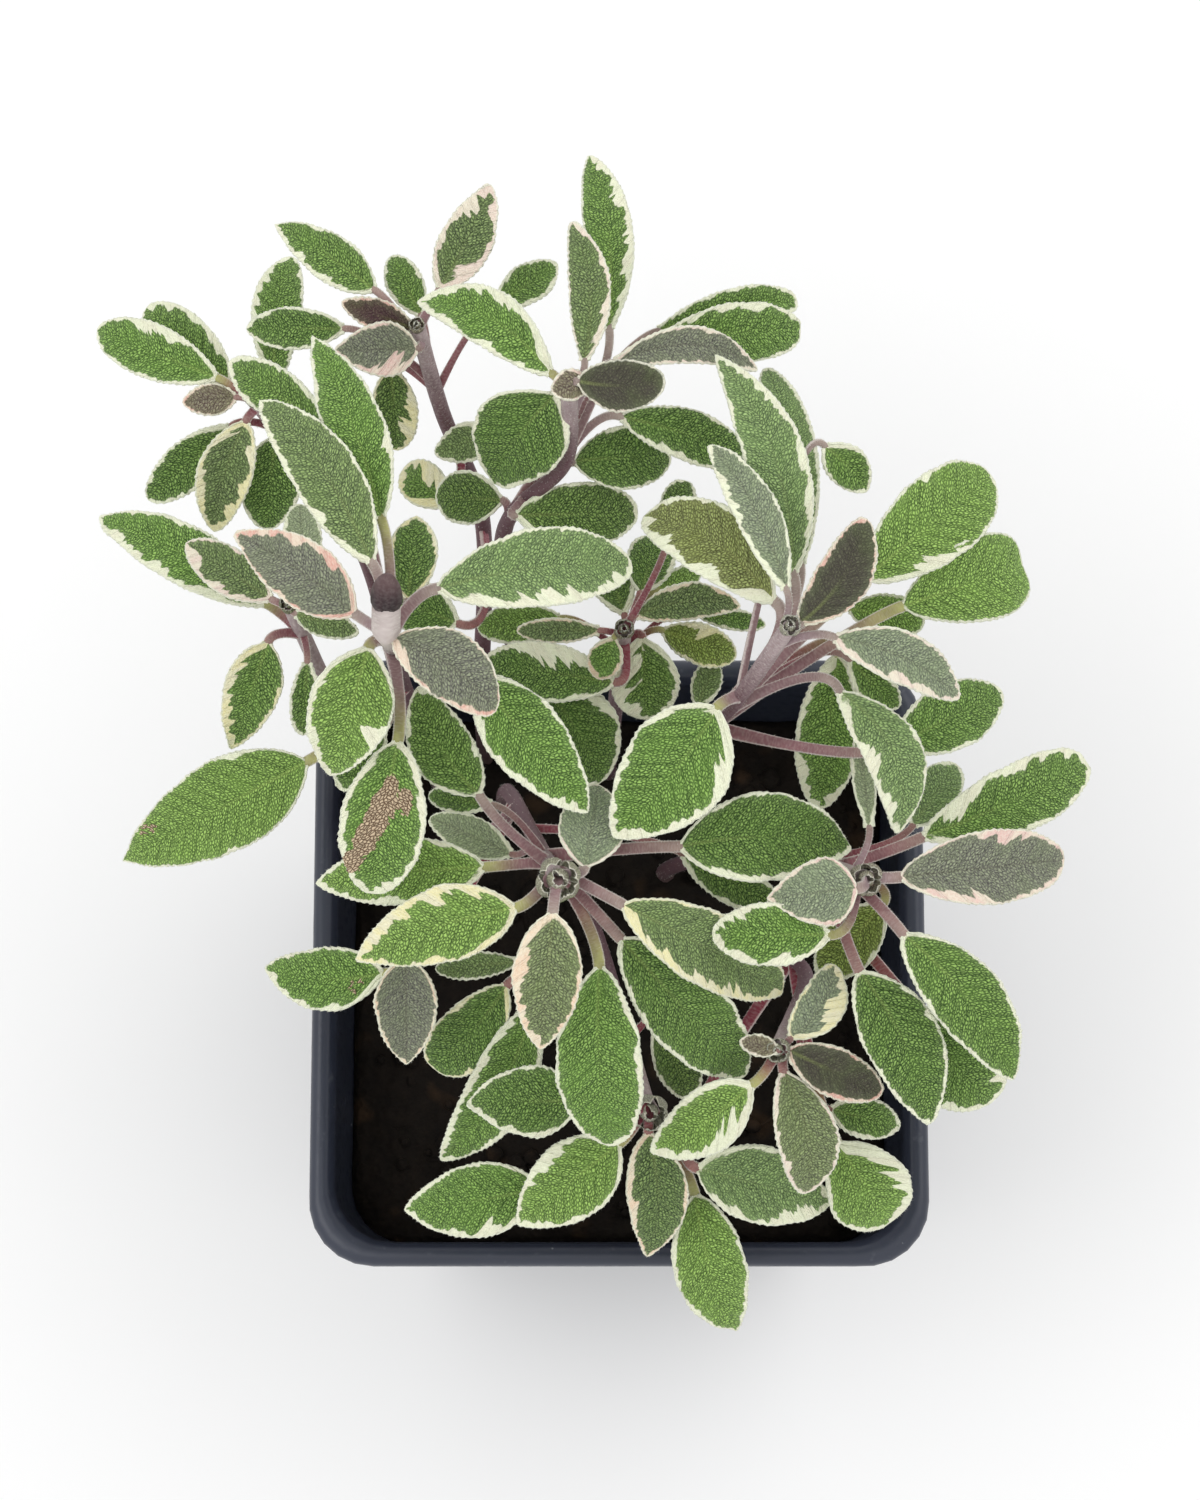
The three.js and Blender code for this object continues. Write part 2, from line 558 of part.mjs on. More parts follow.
const plant = new THREE.Group();
plant.name = "potted_tricolor_sage";
plant.add(asMesh("pot", makePot(), "#24282d", 0.35));
plant.add(asMesh("soil", makeSoil(), "#17120e", 0.95));
Object.entries(STEMS).forEach(([letter, stem], order) => {
  plant.add(asMesh(`leafy_stem_${letter}`, makeStem(stem, 100 + order), "#6f8f52", 0.7));
});

export default plant;
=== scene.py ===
import json
import math
import random
from collections import namedtuple

import bmesh
import bpy
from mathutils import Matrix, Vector, noise

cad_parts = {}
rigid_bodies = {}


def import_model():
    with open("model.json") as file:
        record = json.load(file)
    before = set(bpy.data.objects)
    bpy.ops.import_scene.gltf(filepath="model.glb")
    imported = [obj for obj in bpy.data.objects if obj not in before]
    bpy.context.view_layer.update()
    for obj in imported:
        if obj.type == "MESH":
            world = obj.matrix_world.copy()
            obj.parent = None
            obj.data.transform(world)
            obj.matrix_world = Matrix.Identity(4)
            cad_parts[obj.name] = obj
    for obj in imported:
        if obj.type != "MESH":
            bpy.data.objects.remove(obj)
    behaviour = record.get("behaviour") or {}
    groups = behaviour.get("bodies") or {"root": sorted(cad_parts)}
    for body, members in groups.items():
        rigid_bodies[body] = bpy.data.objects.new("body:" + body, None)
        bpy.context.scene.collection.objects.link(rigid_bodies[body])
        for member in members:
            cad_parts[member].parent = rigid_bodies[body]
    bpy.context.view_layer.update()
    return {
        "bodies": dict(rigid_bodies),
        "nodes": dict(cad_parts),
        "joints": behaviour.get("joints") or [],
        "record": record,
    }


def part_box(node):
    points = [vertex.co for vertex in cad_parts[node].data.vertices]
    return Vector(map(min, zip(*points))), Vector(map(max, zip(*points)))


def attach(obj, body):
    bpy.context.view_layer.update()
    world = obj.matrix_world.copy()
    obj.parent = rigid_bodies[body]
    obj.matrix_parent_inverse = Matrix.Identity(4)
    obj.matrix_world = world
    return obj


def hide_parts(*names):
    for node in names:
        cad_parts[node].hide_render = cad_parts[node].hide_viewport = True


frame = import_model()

# Lengths are in millimetres here, and a finished mesh is scaled to metres.
MM = 0.001
pot_low, pot_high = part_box("pot")

# Pot
RIM_HEIGHT = pot_high[2] / MM
RIM_SIDE = (pot_high[0] - pot_low[0]) / MM
RIM_CORNER = 13
RIM_ROLL = 2.1
RIM_BAND = 4.4
LIP_DEPTH = 12
LIP_STEP = 2.2
LIP_TAPER = 0.8
LIP_ROUND = 0.6
BASE_SIDE = 92
BASE_CORNER = 9
BASE_ROUND = 2.5
WALL = 1.6
FLOOR = 2.4
WALL_RINGS = (20, 40, 60, 80, 95)
INNER_RINGS = (70, 40)
DRAIN_RADIUS = 5
DRAIN_OUT = 31
DRAIN_SIDES = 28
ROUND_COLUMNS = 128
SEAM_GAP = 1e-4

# Soil
SOIL_TOP = RIM_HEIGHT - 28
SOIL_GAP = 0.35
SOIL_DOME = 2.5
STEM_DEPTH = 13.5
STEM_NECK = 6
SOIL_RINGS = 44
SOIL_BEVEL = 2.5
SOIL_WAIST = 45
SOIL_FOOT_INSET = 3
SOIL_CORE_SIDE = 40
SOIL_CORE_CORNER = 0.2
SOIL_SPREAD = 0.46
CLODS = 240
FIBRES = 46

# Stems, stalks and the ribs under the blades
STEM_BASE_RADIUS = 2.3
STEM_TIP_RADIUS = 1.5
STEM_SLIM = 0.6
STEM_SIDES = 14
STEM_ROW = 0.9
STALK_HALF_WIDTH = 1.1
STALK_HALF_DEPTH = 0.85
STALK_CLIMB = 0.3
STALK_DROP_COST = 1.5
STALK_STEPS = 100
STALK_REACH = 0.35
STALK_REACH_MOST = 9
STALK_SIDES = 12
STALK_ROW = 0.8
STALK_SUNK = 0.1
FULL_STALK_BLADE = 6.5
LOWEST_STALK = 0.2
RIB_END = 0.92
RIB_END_RADIUS = 0.28
RIB_ROW = 0.9
RIB_SUNK = 0.45

# Blades
BLADE_PITCH = 0.55
BLADE_THICK = 0.45
BLADE_NECK = 0.9
BLADE_FOLD = 0.19
FOLD_ROUND = 0.6
BASE_FULLNESS = 0.58
TIP_FULLNESS = 0.62
TIP_TAPER = 2
USUAL_WIDEST = 0.45
DROOP_START = 0.7
TOOTH_PITCH = 1.25
TOOTH_DEPTH = 0.13
MIDRIB_DEPTH = 0.38
MIDRIB_WIDTH = 0.6
VEIN_SLANT = 0.8
VEINS_A_SIDE = 10
VEIN_PITCH_LEAST = 1.8
VEIN_PITCH_MOST = 3.4
VEIN_DEPTH = 0.2
VEIN_WIDTH = 0.45
PUCKER_DEPTH = 0.16
PUCKER_SIZE = 1.1
NET_SCALE = 1.55

# Cups of young leaves, and the bud
CUP_HEART = 3
CUP_LIFT = 1.6
CUP_THICK = 0.35
CUP_COLUMNS = 12
CUP_ROWS = 8
BUD_MIDDLE = (-47.4, 71.6, 127)
BUD_RADIUS = 2.8
BUD_HALF_LENGTH = 3.9
BUD_RISE = 2.2
NECK_RADIUS = 1.7
NECK_SWELL = 0.7

# Hairs: their radius, and how many grow on each millimetre of a stem or stalk and at each point of an edge
HAIR_RADIUS = 0.032
STEM_HAIRS = 3
STALK_HAIRS = 9
NECK_HAIRS = 30
EDGE_HAIRS = 2

# Where the plant is looked at from. Leaves are laid out as they are seen from here: u to the right and v up,
# in millimetres on a plane through the middle of the rim that faces the viewer, and z above the rim.
TILT = math.radians(12)
PLANE_UP = Vector((0, math.cos(TILT), math.sin(TILT)))
EYE = Vector((-3.87, -125.1, RIM_HEIGHT + 791.3))
EYE_TO_RIM = (EYE - Vector((0, 0, RIM_HEIGHT))).length
SENSOR_WIDTH = 36
FOCAL_LENGTH = 94.27

# Studio, in metres and watts
LIT_POINT = (0, 0.02, 0.15)
WORLD_LIGHT = 0.95

# Colours of the plant, as 0 to 255 values
BRIGHT = (148, 192, 92)
FRESH = (110, 160, 70)
GREEN = (98, 142, 64)
DEEP = (70, 114, 50)
# The next colour is a darker green with painted shade in it, for leaves that lie low among the others
SHADED_DARK_GREEN = (62, 94, 46)
SOFT = (142, 172, 118)
GREY = (152, 160, 144)
SAGE = (118, 138, 94)
MOSS = (98, 114, 78)
DULL = (74, 94, 66)
DUSK = (122, 114, 118)
WINE = (124, 82, 90)
PLUM = (74, 72, 64)
GARNET = (84, 48, 62)
BRONZE = (150, 142, 84)
TAUPE = (122, 126, 96)
OLIVE = (154, 164, 72)
PALE = (172, 184, 152)
CREAM = (238, 242, 210)
BUTTER = (240, 232, 176)
PEACH = (238, 208, 178)
ROSE = (222, 168, 152)
BLUSH = (228, 192, 182)
SHELL = (236, 214, 200)

# Colours of stems and stalks: stems from the foot up, then stalks and their necks from low to high leaves
WOODY = (84, 64, 60)
PURPLE = (102, 72, 80)
WOOLLY = (170, 152, 154)
LOW_STALK = (142, 58, 74)
HIGH_STALK = (146, 116, 118)
GREY_STALK = (172, 154, 160)
LOW_NECK = (152, 104, 98)
HIGH_NECK = (162, 146, 136)
GREEN_NECK = (168, 168, 104)
CUP_RIM = (206, 190, 180)
BUD_NECK = (196, 184, 180)
# The bud runs from a dark foot to a lighter top: its own dark colour, with painted shade at the foot and
# painted light on the top
BUD_DARK_SHADED_FOOT = (46, 36, 38)
BUD_LIT_TOP = (96, 76, 76)

# How woolly a leaf of each colour is, from 0 to 1, where it isn't the usual
USUAL_WOOL = 0.1
WOOL = {
    PLUM: 0, GARNET: 0, GREY: 0.8, DUSK: 0.9, WINE: 0.95, MOSS: 0.45, DULL: 0.3, SAGE: 0.4, SOFT: 0.4,
    PALE: 0.9, BRONZE: 0.4, TAUPE: 0.6,
}

# Each stem starts in the soil at (x, y), may pass some points (u, v, z) and ends at its tip (u, v, z).
# A leaf is: u, v, z of the blade's base; u, v, z of its tip; width as seen, bow to the right, arch, widest
# part along the blade; blade colour, width of the pale margin on its left and on its right, margin colour.
STEMS = {
    "a": {
        "soil": (-24, 36), "by": [(-22, 33, 40), (-16.5, 23, 70)], "tip": (-12.5, 16, 94),
        "leaves": [
            (-28.5, 33, 91, -41, 55, 97, 13, -2, 2, 0.45, GREEN, 0.7, 0.8, CREAM),
            (-27.5, 18.3, 86, -61.8, 15, 76, 13.5, 0.5, 3, 0.38, BRIGHT, 1.1, 0.7, CREAM),
            (-21, 10, 92, -54, -0.5, 82, 15.5, 1.3, 3, 0.35, BRIGHT, 1.1, 2.4, BUTTER),
            (-13.5, 9, 97, -16, -19, 88, 14, 0, 3, 0.4, TAUPE, 0.8, 1.7, PEACH),
            (-4, -2, 84, -1, -38.8, 62, 17.5, 1.7, 4, 0.48, FRESH, 1, 0.7, CREAM),
            (0.5, 3.5, 84, 26, -24.5, 55, 16.5, 0, 4, 0.42, DEEP, 0.7, 0.8, CREAM),
            (1, 10.5, 90, 34, -7.5, 64, 15, -0.5, 3, 0.45, SAGE, 0.6, 2, BUTTER),
            (12.5, 22.5, 86, 47.3, 22.5, 76, 18, -2, 3, 0.42, DEEP, 0.5, 1.2, CREAM),
            (-7, 18.5, 93, -4, 35.5, 88, 13.5, 0, 1, 0.4, GREY, 0.5, 0.5, SHELL),
            (-22, 21, 70, -38.5, 28.5, 64, 8, 0, 1, 0.45, PALE, 0.4, 0.4, CREAM),
            (13, 21, 70, 34, 9, 62, 9, 0, 1, 0.45, DEEP, 0.9, 0.8, CREAM),
            (-48, -3.3, 60, -72.3, -2.2, 50, 13, -1.8, 2, 0.38, FRESH, 1.1, 0.6, CREAM),
            (-26, 31, 84, -39, 33, 78, 5.5, 0, 1, 0.5, DEEP, 0.5, 0.6, CREAM),
            (-43.5, 0, 62, -43.3, -22, 50, 12.5, 0, 2, 0.36, DUSK, 0.6, 0.7, PEACH),
        ],
    },
    "b": {
        "soil": (-34, 30), "by": [(-44, 56, 60)], "tip": (-47.5, 66.5, 124),
        "leaves": [
            (-48.5, 89.5, 117, -62.5, 127, 104, 12.5, 1.3, 3, 0.34, FRESH, 0.6, 0.6, CREAM),
            (-50.5, 80.5, 120, -73.5, 113.8, 108, 13.5, 2.5, 3, 0.4, SAGE, 1.2, 0.6, CREAM),
            (-54, 70, 121, -78.5, 86.5, 116, 13.5, 1, 2, 0.36, DUSK, 0.7, 1.3, ROSE),
            (-37, 75, 118, 3, 79.5, 106, 16, -2, 4, 0.5, SOFT, 0.6, 1.7, CREAM),
            (-46, 65, 123, -25, 50, 120, 13.7, -2.2, 2, 0.5, DUSK, 0.35, 0.8, ROSE),
            (-51, 63, 115, -59, 36.5, 103, 17, 0, 3, 0.38, BRIGHT, 0.6, 1.5, CREAM),
            (-45, 44, 104, -50, 12.7, 90, 17.3, 0.5, 3, 0.5, FRESH, 1.5, 1.5, CREAM),
            (-63.8, 39.7, 66, -101.5, 19.3, 46, 18.6, 0, 3, 0.34, BRIGHT, 0.35, 0.35, CREAM),
            (-29, 57, 106, -6.3, 29.3, 96, 15.5, 0, 2, 0.4, FRESH, 0.6, 1.5, CREAM),
            (-43, 73, 112, -41.2, 90, 106, 10, 0, 1, 0.45, DEEP, 0.8, 0.8, BUTTER),
            (-60, 108, 98, -79.5, 121.5, 90, 10, 0, 2, 0.45, GREEN, 0.8, 0.8, CREAM),
            (-48, 46, 98, -57, 34, 92, 8, 0, 1, 0.5, DEEP, 0.7, 0.7, CREAM),
        ],
    },
    "c": {
        "soil": (-4, 28), "by": [(8, 40, 30), (22.5, 50.5, 92)], "tip": (34.5, 67, 118),
        "leaves": [
            (34, 75, 117, 18.5, 104.5, 110, 9, 2, 2, 0.45, GREY, 1.3, 0.5, CREAM),
            (37, 68, 119, 50.5, 89.3, 125, 11, 2.3, 1, 0.5, PLUM, 0.6, 0.6, ROSE),
            (44, 65, 116, 69.5, 52.5, 106, 10.5, -2.5, 2, 0.45, GREY, 0.5, 1.4, SHELL),
            (50, 77, 98, 76, 98.5, 88, 17.5, 0, 3, 0.52, BRIGHT, 0.5, 0.6, CREAM),
            (58, 71.5, 94, 83, 80, 84, 17, 0, 3, 0.6, BRIGHT, 0.35, 0.35, CREAM),
            (31.5, 72.5, 108, 4.5, 90, 98, 14.5, 3.5, 3, 0.5, BRONZE, 2, 0.8, CREAM),
            (35.5, 78, 108, 19.5, 123, 104, 12.5, 4.4, 4, 0.38, SOFT, 0.6, 1.4, CREAM),
            (37, 80, 95, 30, 120.5, 80, 10, 2.2, 3, 0.5, SOFT, 0.8, 0.7, CREAM),
            (42, 104, 110, 50.5, 94.6, 102, 8.5, -0.7, 1, 0.4, GREEN, 0.6, 0.6, CREAM),
            (45, 54, 98, 57, 25, 86, 12, -5.3, 3, 0.45, SOFT, 0.6, 1.5, CREAM),
            (44.5, 61.5, 74, 40.8, 30, 62, 13, 0, 2, 0.5, FRESH, 1, 1.7, CREAM),
            (47, 60.5, 78, 57, 50.5, 72, 7.5, 0, 1, 0.45, GREEN, 0.7, 0.8, CREAM),
            (56, 43, 88, 78.3, 54.3, 76, 13.5, 0, 2, 0.45, GREEN, 0.6, 0.6, CREAM),
            (20, 50.8, 100, -1.2, 24.3, 94, 21.5, -1.3, 2, 0.4, FRESH, 1.5, 1.1, CREAM),
            (47, 71, 86, 62.5, 68, 80, 9, 0, 1, 0.5, BRIGHT, 0.6, 0.6, CREAM),
        ],
    },
    "d": {
        "soil": (-16, 46), "by": [(-23, 88, 76), (-11, 101, 98)], "tip": (-10, 115, 113),
        "leaves": [
            (-14, 119, 112, -41, 133.5, 102, 11.5, 4, 3, 0.42, FRESH, 1, 1.7, CREAM),
            (-7, 121.5, 114, -9.5, 150, 112, 8.5, 2.3, 2, 0.45, MOSS, 0.35, 1.2, SHELL),
            (-2, 128, 102, -6, 163.5, 90, 10, 2, 3, 0.45, GREEN, 0.35, 2, CREAM),
            (-13, 114.5, 110, -25.6, 96.2, 90, 19.5, 1.5, 3, 0.33, DEEP, 0.8, 0.8, CREAM),
            (-8.5, 117.3, 116, 9.2, 117, 118, 10.5, 0.8, 1, 0.54, PLUM, 0.3, 0.3, SHELL),
            (-1, 121, 110, 28.5, 119.5, 94, 7.5, -4.5, 2, 0.45, DUSK, 0.7, 0.7, SHELL),
            (8, 127.5, 90, 36.5, 133.7, 80, 8, -1.3, 2, 0.58, GREEN, 0.6, 1, CREAM),
            (9, 126, 93, 37.2, 127.5, 84, 12, -0.5, 3, 0.55, GREEN, 1.2, 0.6, CREAM),
            (0.5, 110, 98, 27, 100, 84, 10.5, -1.4, 3, 0.45, DEEP, 0.5, 1.3, CREAM),
            (-9, 101, 92, 11, 101.5, 84, 13, -0.5, 2, 0.45, DEEP, 0.6, 0.6, CREAM),
            (-24, 93, 80, -37.5, 94, 72, 11, 0, 1, 0.45, SHADED_DARK_GREEN, 0.5, 0.5, CREAM),
            (-21, 90, 88, 4, 90.5, 80, 13, 0, 3, 0.5, SHADED_DARK_GREEN, 0.8, 0.9, CREAM),
            (-6.5, 118, 114, -13.5, 115, 117, 6.5, 0, 0.5, 0.5, WINE, 0.5, 0.6, BLUSH),
        ],
    },
    "e": {
        "soil": (-28, 48), "by": [(-28, 55.5, 12), (-28, 90, 42), (-36, 111, 66)], "tip": (-41, 128, 84),
        "leaves": [
            (-42, 128, 84, -56.5, 133.5, 88, 6.5, 0, 1, 0.45, GARNET, 0.5, 0.6, ROSE),
            (-41, 124, 84, -58, 123.5, 84, 11, 0, 1, 0.35, DUSK, 0.9, 0.6, BLUSH),
            (-50, 136, 82, -70.5, 149.5, 72, 9.5, 0.6, 2, 0.32, GREEN, 1.1, 0.5, CREAM),
            (-56, 128, 78, -76, 128, 70, 8.5, 0, 2, 0.45, DEEP, 0.6, 0.7, CREAM),
            (-40.5, 131, 78, -46.5, 143, 72, 7.5, 0, 1, 0.45, GREEN, 0.6, 0.6, CREAM),
            (-36.5, 136, 86, -26, 157.3, 90, 10.7, 0.5, 1, 0.42, MOSS, 1.2, 1.1, SHELL),
            (-25, 133, 76, -12.5, 141, 68, 8, 0, 1, 0.45, GREEN, 0.7, 0.7, CREAM),
            (-46.5, 120, 74, -45, 103, 62, 9.5, 0, 1, 0.5, SHADED_DARK_GREEN, 1.2, 0.6, BUTTER),
            (-26.5, 106.5, 62, -37.5, 102.5, 66, 8, 0, 1, 0.45, SAGE, 0.6, 0.6, CREAM),
            (-33, 68, 60, -46, 73, 56, 11, 0, 1, 0.5, DEEP, 0.6, 0.6, CREAM),
            (-35, 92, 60, -44, 100, 56, 9, 0, 1, 0.5, GREEN, 1.4, 1.4, BUTTER),
        ],
    },
    "f": {
        "soil": (10, 22), "by": [(30, 22, 40)], "tip": (50, 16, 86),
        "leaves": [
            (57.5, 16.3, 86, 91.3, 20, 78, 15, 0, 3, 0.52, DUSK, 0.7, 0.9, BLUSH),
            (62, 24.5, 78, 95.5, 40, 66, 14, 1, 3, 0.55, GREEN, 1.6, 1, CREAM),
            (48.5, 14, 91, 30, 12, 88, 14, 0, 1, 0.3, GREY, 0.8, 0.7, BLUSH),
            (43, 4.5, 87, 18.8, 4.7, 84, 13, 0, 2, 0.5, FRESH, 1.4, 1.2, CREAM),
            (49, -3, 74, 63.5, -34, 62, 15.5, -2.2, 3, 0.42, DEEP, 0.8, 0.8, CREAM),
            (58, 4.5, 82, 80.5, -25, 66, 14.5, -2.5, 3, 0.42, GREEN, 0.5, 0.6, CREAM),
            (61, -11, 62, 77.5, -29, 52, 17, 2, 2, 0.5, GREEN, 2.2, 1, CREAM),
            (53.5, 10.5, 68, 40.5, -4.5, 58, 11.5, 0, 1, 0.45, OLIVE, 0.6, 0.7, CREAM),
            (51, 26.5, 84, 48.8, 45.5, 82, 4.5, 0, 1, 0.5, PALE, 0.5, 0.5, CREAM),
            (60, 27, 68, 68.7, 39.5, 60, 9, 0, 1, 0.5, SOFT, 0.6, 0.6, CREAM),
        ],
    },
    "g": {
        "soil": (24, 6), "by": [(38, -4, 44)], "tip": (32.5, -18.5, 66),
        "leaves": [
            (32.5, -19, 68, 24.5, -17, 68, 4.6, 0, 0.5, 0.45, WINE, 0.4, 0.4, SHELL),
            (35, -16.5, 67, 44, -1.5, 69, 9.5, 2, 1, 0.5, GREY, 0.7, 1.3, BUTTER),
            (34.5, -19, 67, 53.6, -28, 65, 10, 0, 1, 0.5, PLUM, 0.6, 0.7, ROSE),
            (33.5, -23.5, 64, 38, -48.5, 50, 12.5, -2.5, 3, 0.46, TAUPE, 0.7, 0.9, SHELL),
            (27, -26, 64, 6, -40, 52, 13, -1.2, 2, 0.36, BRIGHT, 1.8, 1.1, CREAM),
            (16, -43, 42, 43.5, -50.3, 36, 15.5, 0, 2, 0.42, SOFT, 1.2, 1.2, CREAM),
            (44.5, -38, 42, 55.5, -54.5, 30, 17, 0, 2, 0.5, BRIGHT, 1.9, 0.8, CREAM),
            (43, -31, 52, 57.5, -34.5, 46, 8.5, 0, 1, 0.45, GREEN, 0.7, 0.7, CREAM),
        ],
    },
    "h": {
        "soil": (-8, 18), "by": [(-3.5, 1, 20)], "tip": (6, -31, 44),
        "leaves": [
            (6, -36, 44, 5.8, -61, 28, 12.3, -2, 3, 0.36, DULL, 0.6, 0.6, PEACH),
            (0, -38, 44, -20.8, -54.5, 34, 16, 0, 3, 0.36, BRIGHT, 1.2, 1.1, CREAM),
            (-16, -47, 34, -43.7, -51.5, 22, 14.8, -0.5, 3, 0.36, FRESH, 1, 0.8, CREAM),
            (15.5, -48.5, 32, 24, -76.8, 12, 14.5, 1.4, 4, 0.36, BRIGHT, 0.6, 0.8, CREAM),
            (-8, -29.3, 54, -31.3, -29.5, 46, 14.5, 0, 2, 0.33, DEEP, 1.1, 0.8, CREAM),
            (-17.5, -10, 50, -36.5, -41.7, 28, 13, -3, 3, 0.4, GREEN, 0.9, 1.4, CREAM),
            (-23, -6, 50, -38, -22.7, 38, 13, -1, 2, 0.55, DEEP, 0.7, 0.8, BUTTER),
            (-21, -1, 52, -37.5, -2.5, 48, 5.5, 0, 1, 0.5, SAGE, 0.4, 0.4, CREAM),
            (8, -13, 38, 15, -29, 28, 9, 0, 1, 0.5, SHADED_DARK_GREEN, 0.6, 0.6, CREAM),
        ],
    },
    "i": {
        "soil": (-2, 44), "by": [], "tip": (1, 66.5, 62),
        "leaves": [
            (-4, 66.5, 62, -21, 66.5, 58, 5, 0, 1, 0.5, MOSS, 0.5, 0.5, PEACH),
            (3.5, 69.5, 64, 25, 71.5, 60, 7.5, -2, 1, 0.45, MOSS, 0.7, 0.5, PEACH),
            (4.5, 74.5, 60, 8, 86, 54, 10, 0, 1, 0.5, DEEP, 0.7, 0.7, CREAM),
            (8, 75, 56, 16.8, 78.5, 52, 5, 0, 0.5, 0.5, BRIGHT, 0.4, 0.4, CREAM),
            (15, 70.5, 48, 30, 67.5, 44, 4.5, 0, 1, 0.5, DEEP, 0.5, 0.5, CREAM),
            (9, 66.5, 52, 24, 61, 46, 8.5, 0, 1, 0.5, OLIVE, 0.6, 0.6, BUTTER),
            (4.5, 65, 56, 6, 48, 48, 14, 0, 2, 0.5, GREEN, 1.2, 2.0, CREAM),
            (-17, 56, 50, -4, 35, 42, 17, -2, 2, 0.5, DEEP, 0.9, 0.9, CREAM),
            (-1, 56, 60, -28, 60, 54, 12, 0, 1, 0.5, DEEP, 1.0, 1.0, CREAM),
            (16, 51, 46, 19.5, 60.5, 44, 6, 0, 0.5, 0.5, SAGE, 0.5, 0.5, CREAM),
            (-12, 69, 52, -29, 67, 46, 8, 0, 1, 0.5, BRIGHT, 0.6, 0.6, CREAM),
            (1, 70, 54, -3, 82, 48, 9, 0, 1, 0.5, DEEP, 0.8, 0.8, CREAM),
            (10, 85, 68, 13.3, 97.3, 66, 7, 0, 1, 0.55, SHADED_DARK_GREEN, 0.6, 0.6, CREAM),
            (-1, 65, 63, -4.5, 56.5, 60, 7, 0, 1, 0.5, FRESH, 0.7, 0.7, PEACH),
        ],
    },
    "j": {
        "soil": (-44, 22), "by": [], "tip": (-67, 71.5, 80),
        "leaves": [
            (-72, 72, 72, -106, 89.5, 60, 12, 1.3, 3, 0.42, FRESH, 1.6, 0.6, CREAM),
            (-71, 73, 80, -88.5, 84.5, 76, 9.5, 0, 1, 0.45, MOSS, 1.6, 0.6, SHELL),
            (-66, 70, 82, -53, 66, 82, 6, 0, 0.5, 0.45, SAGE, 0.5, 0.5, CREAM),
            (-71.5, 64, 74, -79, 42, 60, 11.5, 0, 2, 0.33, GREEN, 0.7, 2, BUTTER),
            (-63.5, 60, 74, -64.4, 45, 66, 6, 0, 1, 0.5, DEEP, 0.5, 0.5, CREAM),
            (-64, 76, 76, -65, 92.5, 72, 8, 0, 1, 0.5, PALE, 0.6, 0.6, CREAM),
        ],
    },
    "k": {
        "soil": (-38, 42), "by": [(-44, 54, 12), (-52, 82, 36), (-62, 98, 50)], "tip": (-74, 113, 68),
        "leaves": [
            (-82, 118, 70, -106.5, 128, 62, 11, 0, 2, 0.5, FRESH, 0.7, 0.8, CREAM),
            (-79, 117, 64, -96.5, 132.5, 56, 11, 0, 2, 0.5, GREEN, 0.6, 1.4, CREAM),
            (-78, 114, 70, -89, 113, 70, 6.5, 0, 0.5, 0.45, WINE, 0.5, 0.5, ROSE),
            (-70, 117, 66, -66.8, 143, 58, 10, -1.5, 2, 0.5, GREEN, 1.3, 0.7, CREAM),
            (-79, 108, 64, -96, 93, 56, 9.5, 0, 1, 0.5, DEEP, 0.7, 0.7, CREAM),
            (-76, 109, 68, -82.5, 86.5, 60, 11, 1.2, 2, 0.45, MOSS, 1.7, 1.7, BUTTER),
            (-70, 106, 62, -72, 87, 56, 12, 0, 1, 0.5, DEEP, 0.6, 0.6, CREAM),
        ],
    },
}

# Wider patches of the margin: stem and leaf, then (side, middle and half-length along the blade, depth in
# mm), where side is 1 on the right and -1 on the left
PATCHES = {
    ("a", 3): [(1, 0.35, 0.25, 1.4)],
    ("b", 0): [(1, 0.3, 0.08, 1.6)],
    ("b", 2): [(1, 0.45, 0.25, 1.0)],
    ("b", 3): [(1, 0.55, 0.25, 1.5)],
    ("b", 4): [(1, 0.2, 0.2, 0.7)],
    ("b", 5): [(-1, 0.55, 0.14, 3.6)],
    ("b", 7): [(1, 0.25, 0.12, 1.0), (-1, 0.45, 0.06, 0.9)],
    ("c", 3): [(1, 0.3, 0.22, 2.6), (-1, 0.6, 0.07, 1.0)],
    ("c", 9): [(1, 0.5, 0.3, 0.9)],
    ("c", 13): [(-1, 0.28, 0.22, 2.2)],
    ("e", 1): [(-1, 0.3, 0.3, 2.4)],
    ("e", 5): [(-1, 0.75, 0.25, 1.6), (1, 0.2, 0.25, 1.4)],
    ("e", 7): [(-1, 0.6, 0.4, 1.6)],
    ("e", 10): [(1, 0.5, 0.4, 1.8)],
    ("f", 0): [(-1, 0.62, 0.25, 1.6), (1, 0.3, 0.25, 1.2)],
    ("f", 1): [(-1, 0.25, 0.2, 1.4)],
    ("f", 3): [(1, 0.75, 0.25, 1.6)],
    ("g", 1): [(1, 0.55, 0.35, 1.8)],
    ("g", 4): [(-1, 0.3, 0.25, 1.5)],
    ("g", 5): [(-1, 0.7, 0.13, 1.8), (1, 0.75, 0.2, 2.0), (1, 0.3, 0.12, 1.4)],
    ("g", 6): [(-1, 0.45, 0.35, 1.0)],
    ("h", 0): [(1, 0.4, 0.3, 1.2)],
    ("h", 1): [(1, 0.5, 0.35, 1.4)],
    ("h", 2): [(-1, 0.35, 0.12, 2.2)],
    ("i", 5): [(-1, 0.4, 0.3, 1.6)],
    ("i", 6): [(1, 0.4, 0.3, 3.0)],
    ("i", 7): [(-1, 0.4, 0.2, 1.0)],
    ("i", 8): [(1, 0.5, 0.45, 2.4)],
    ("k", 0): [(1, 0.5, 0.25, 2.2)],
}

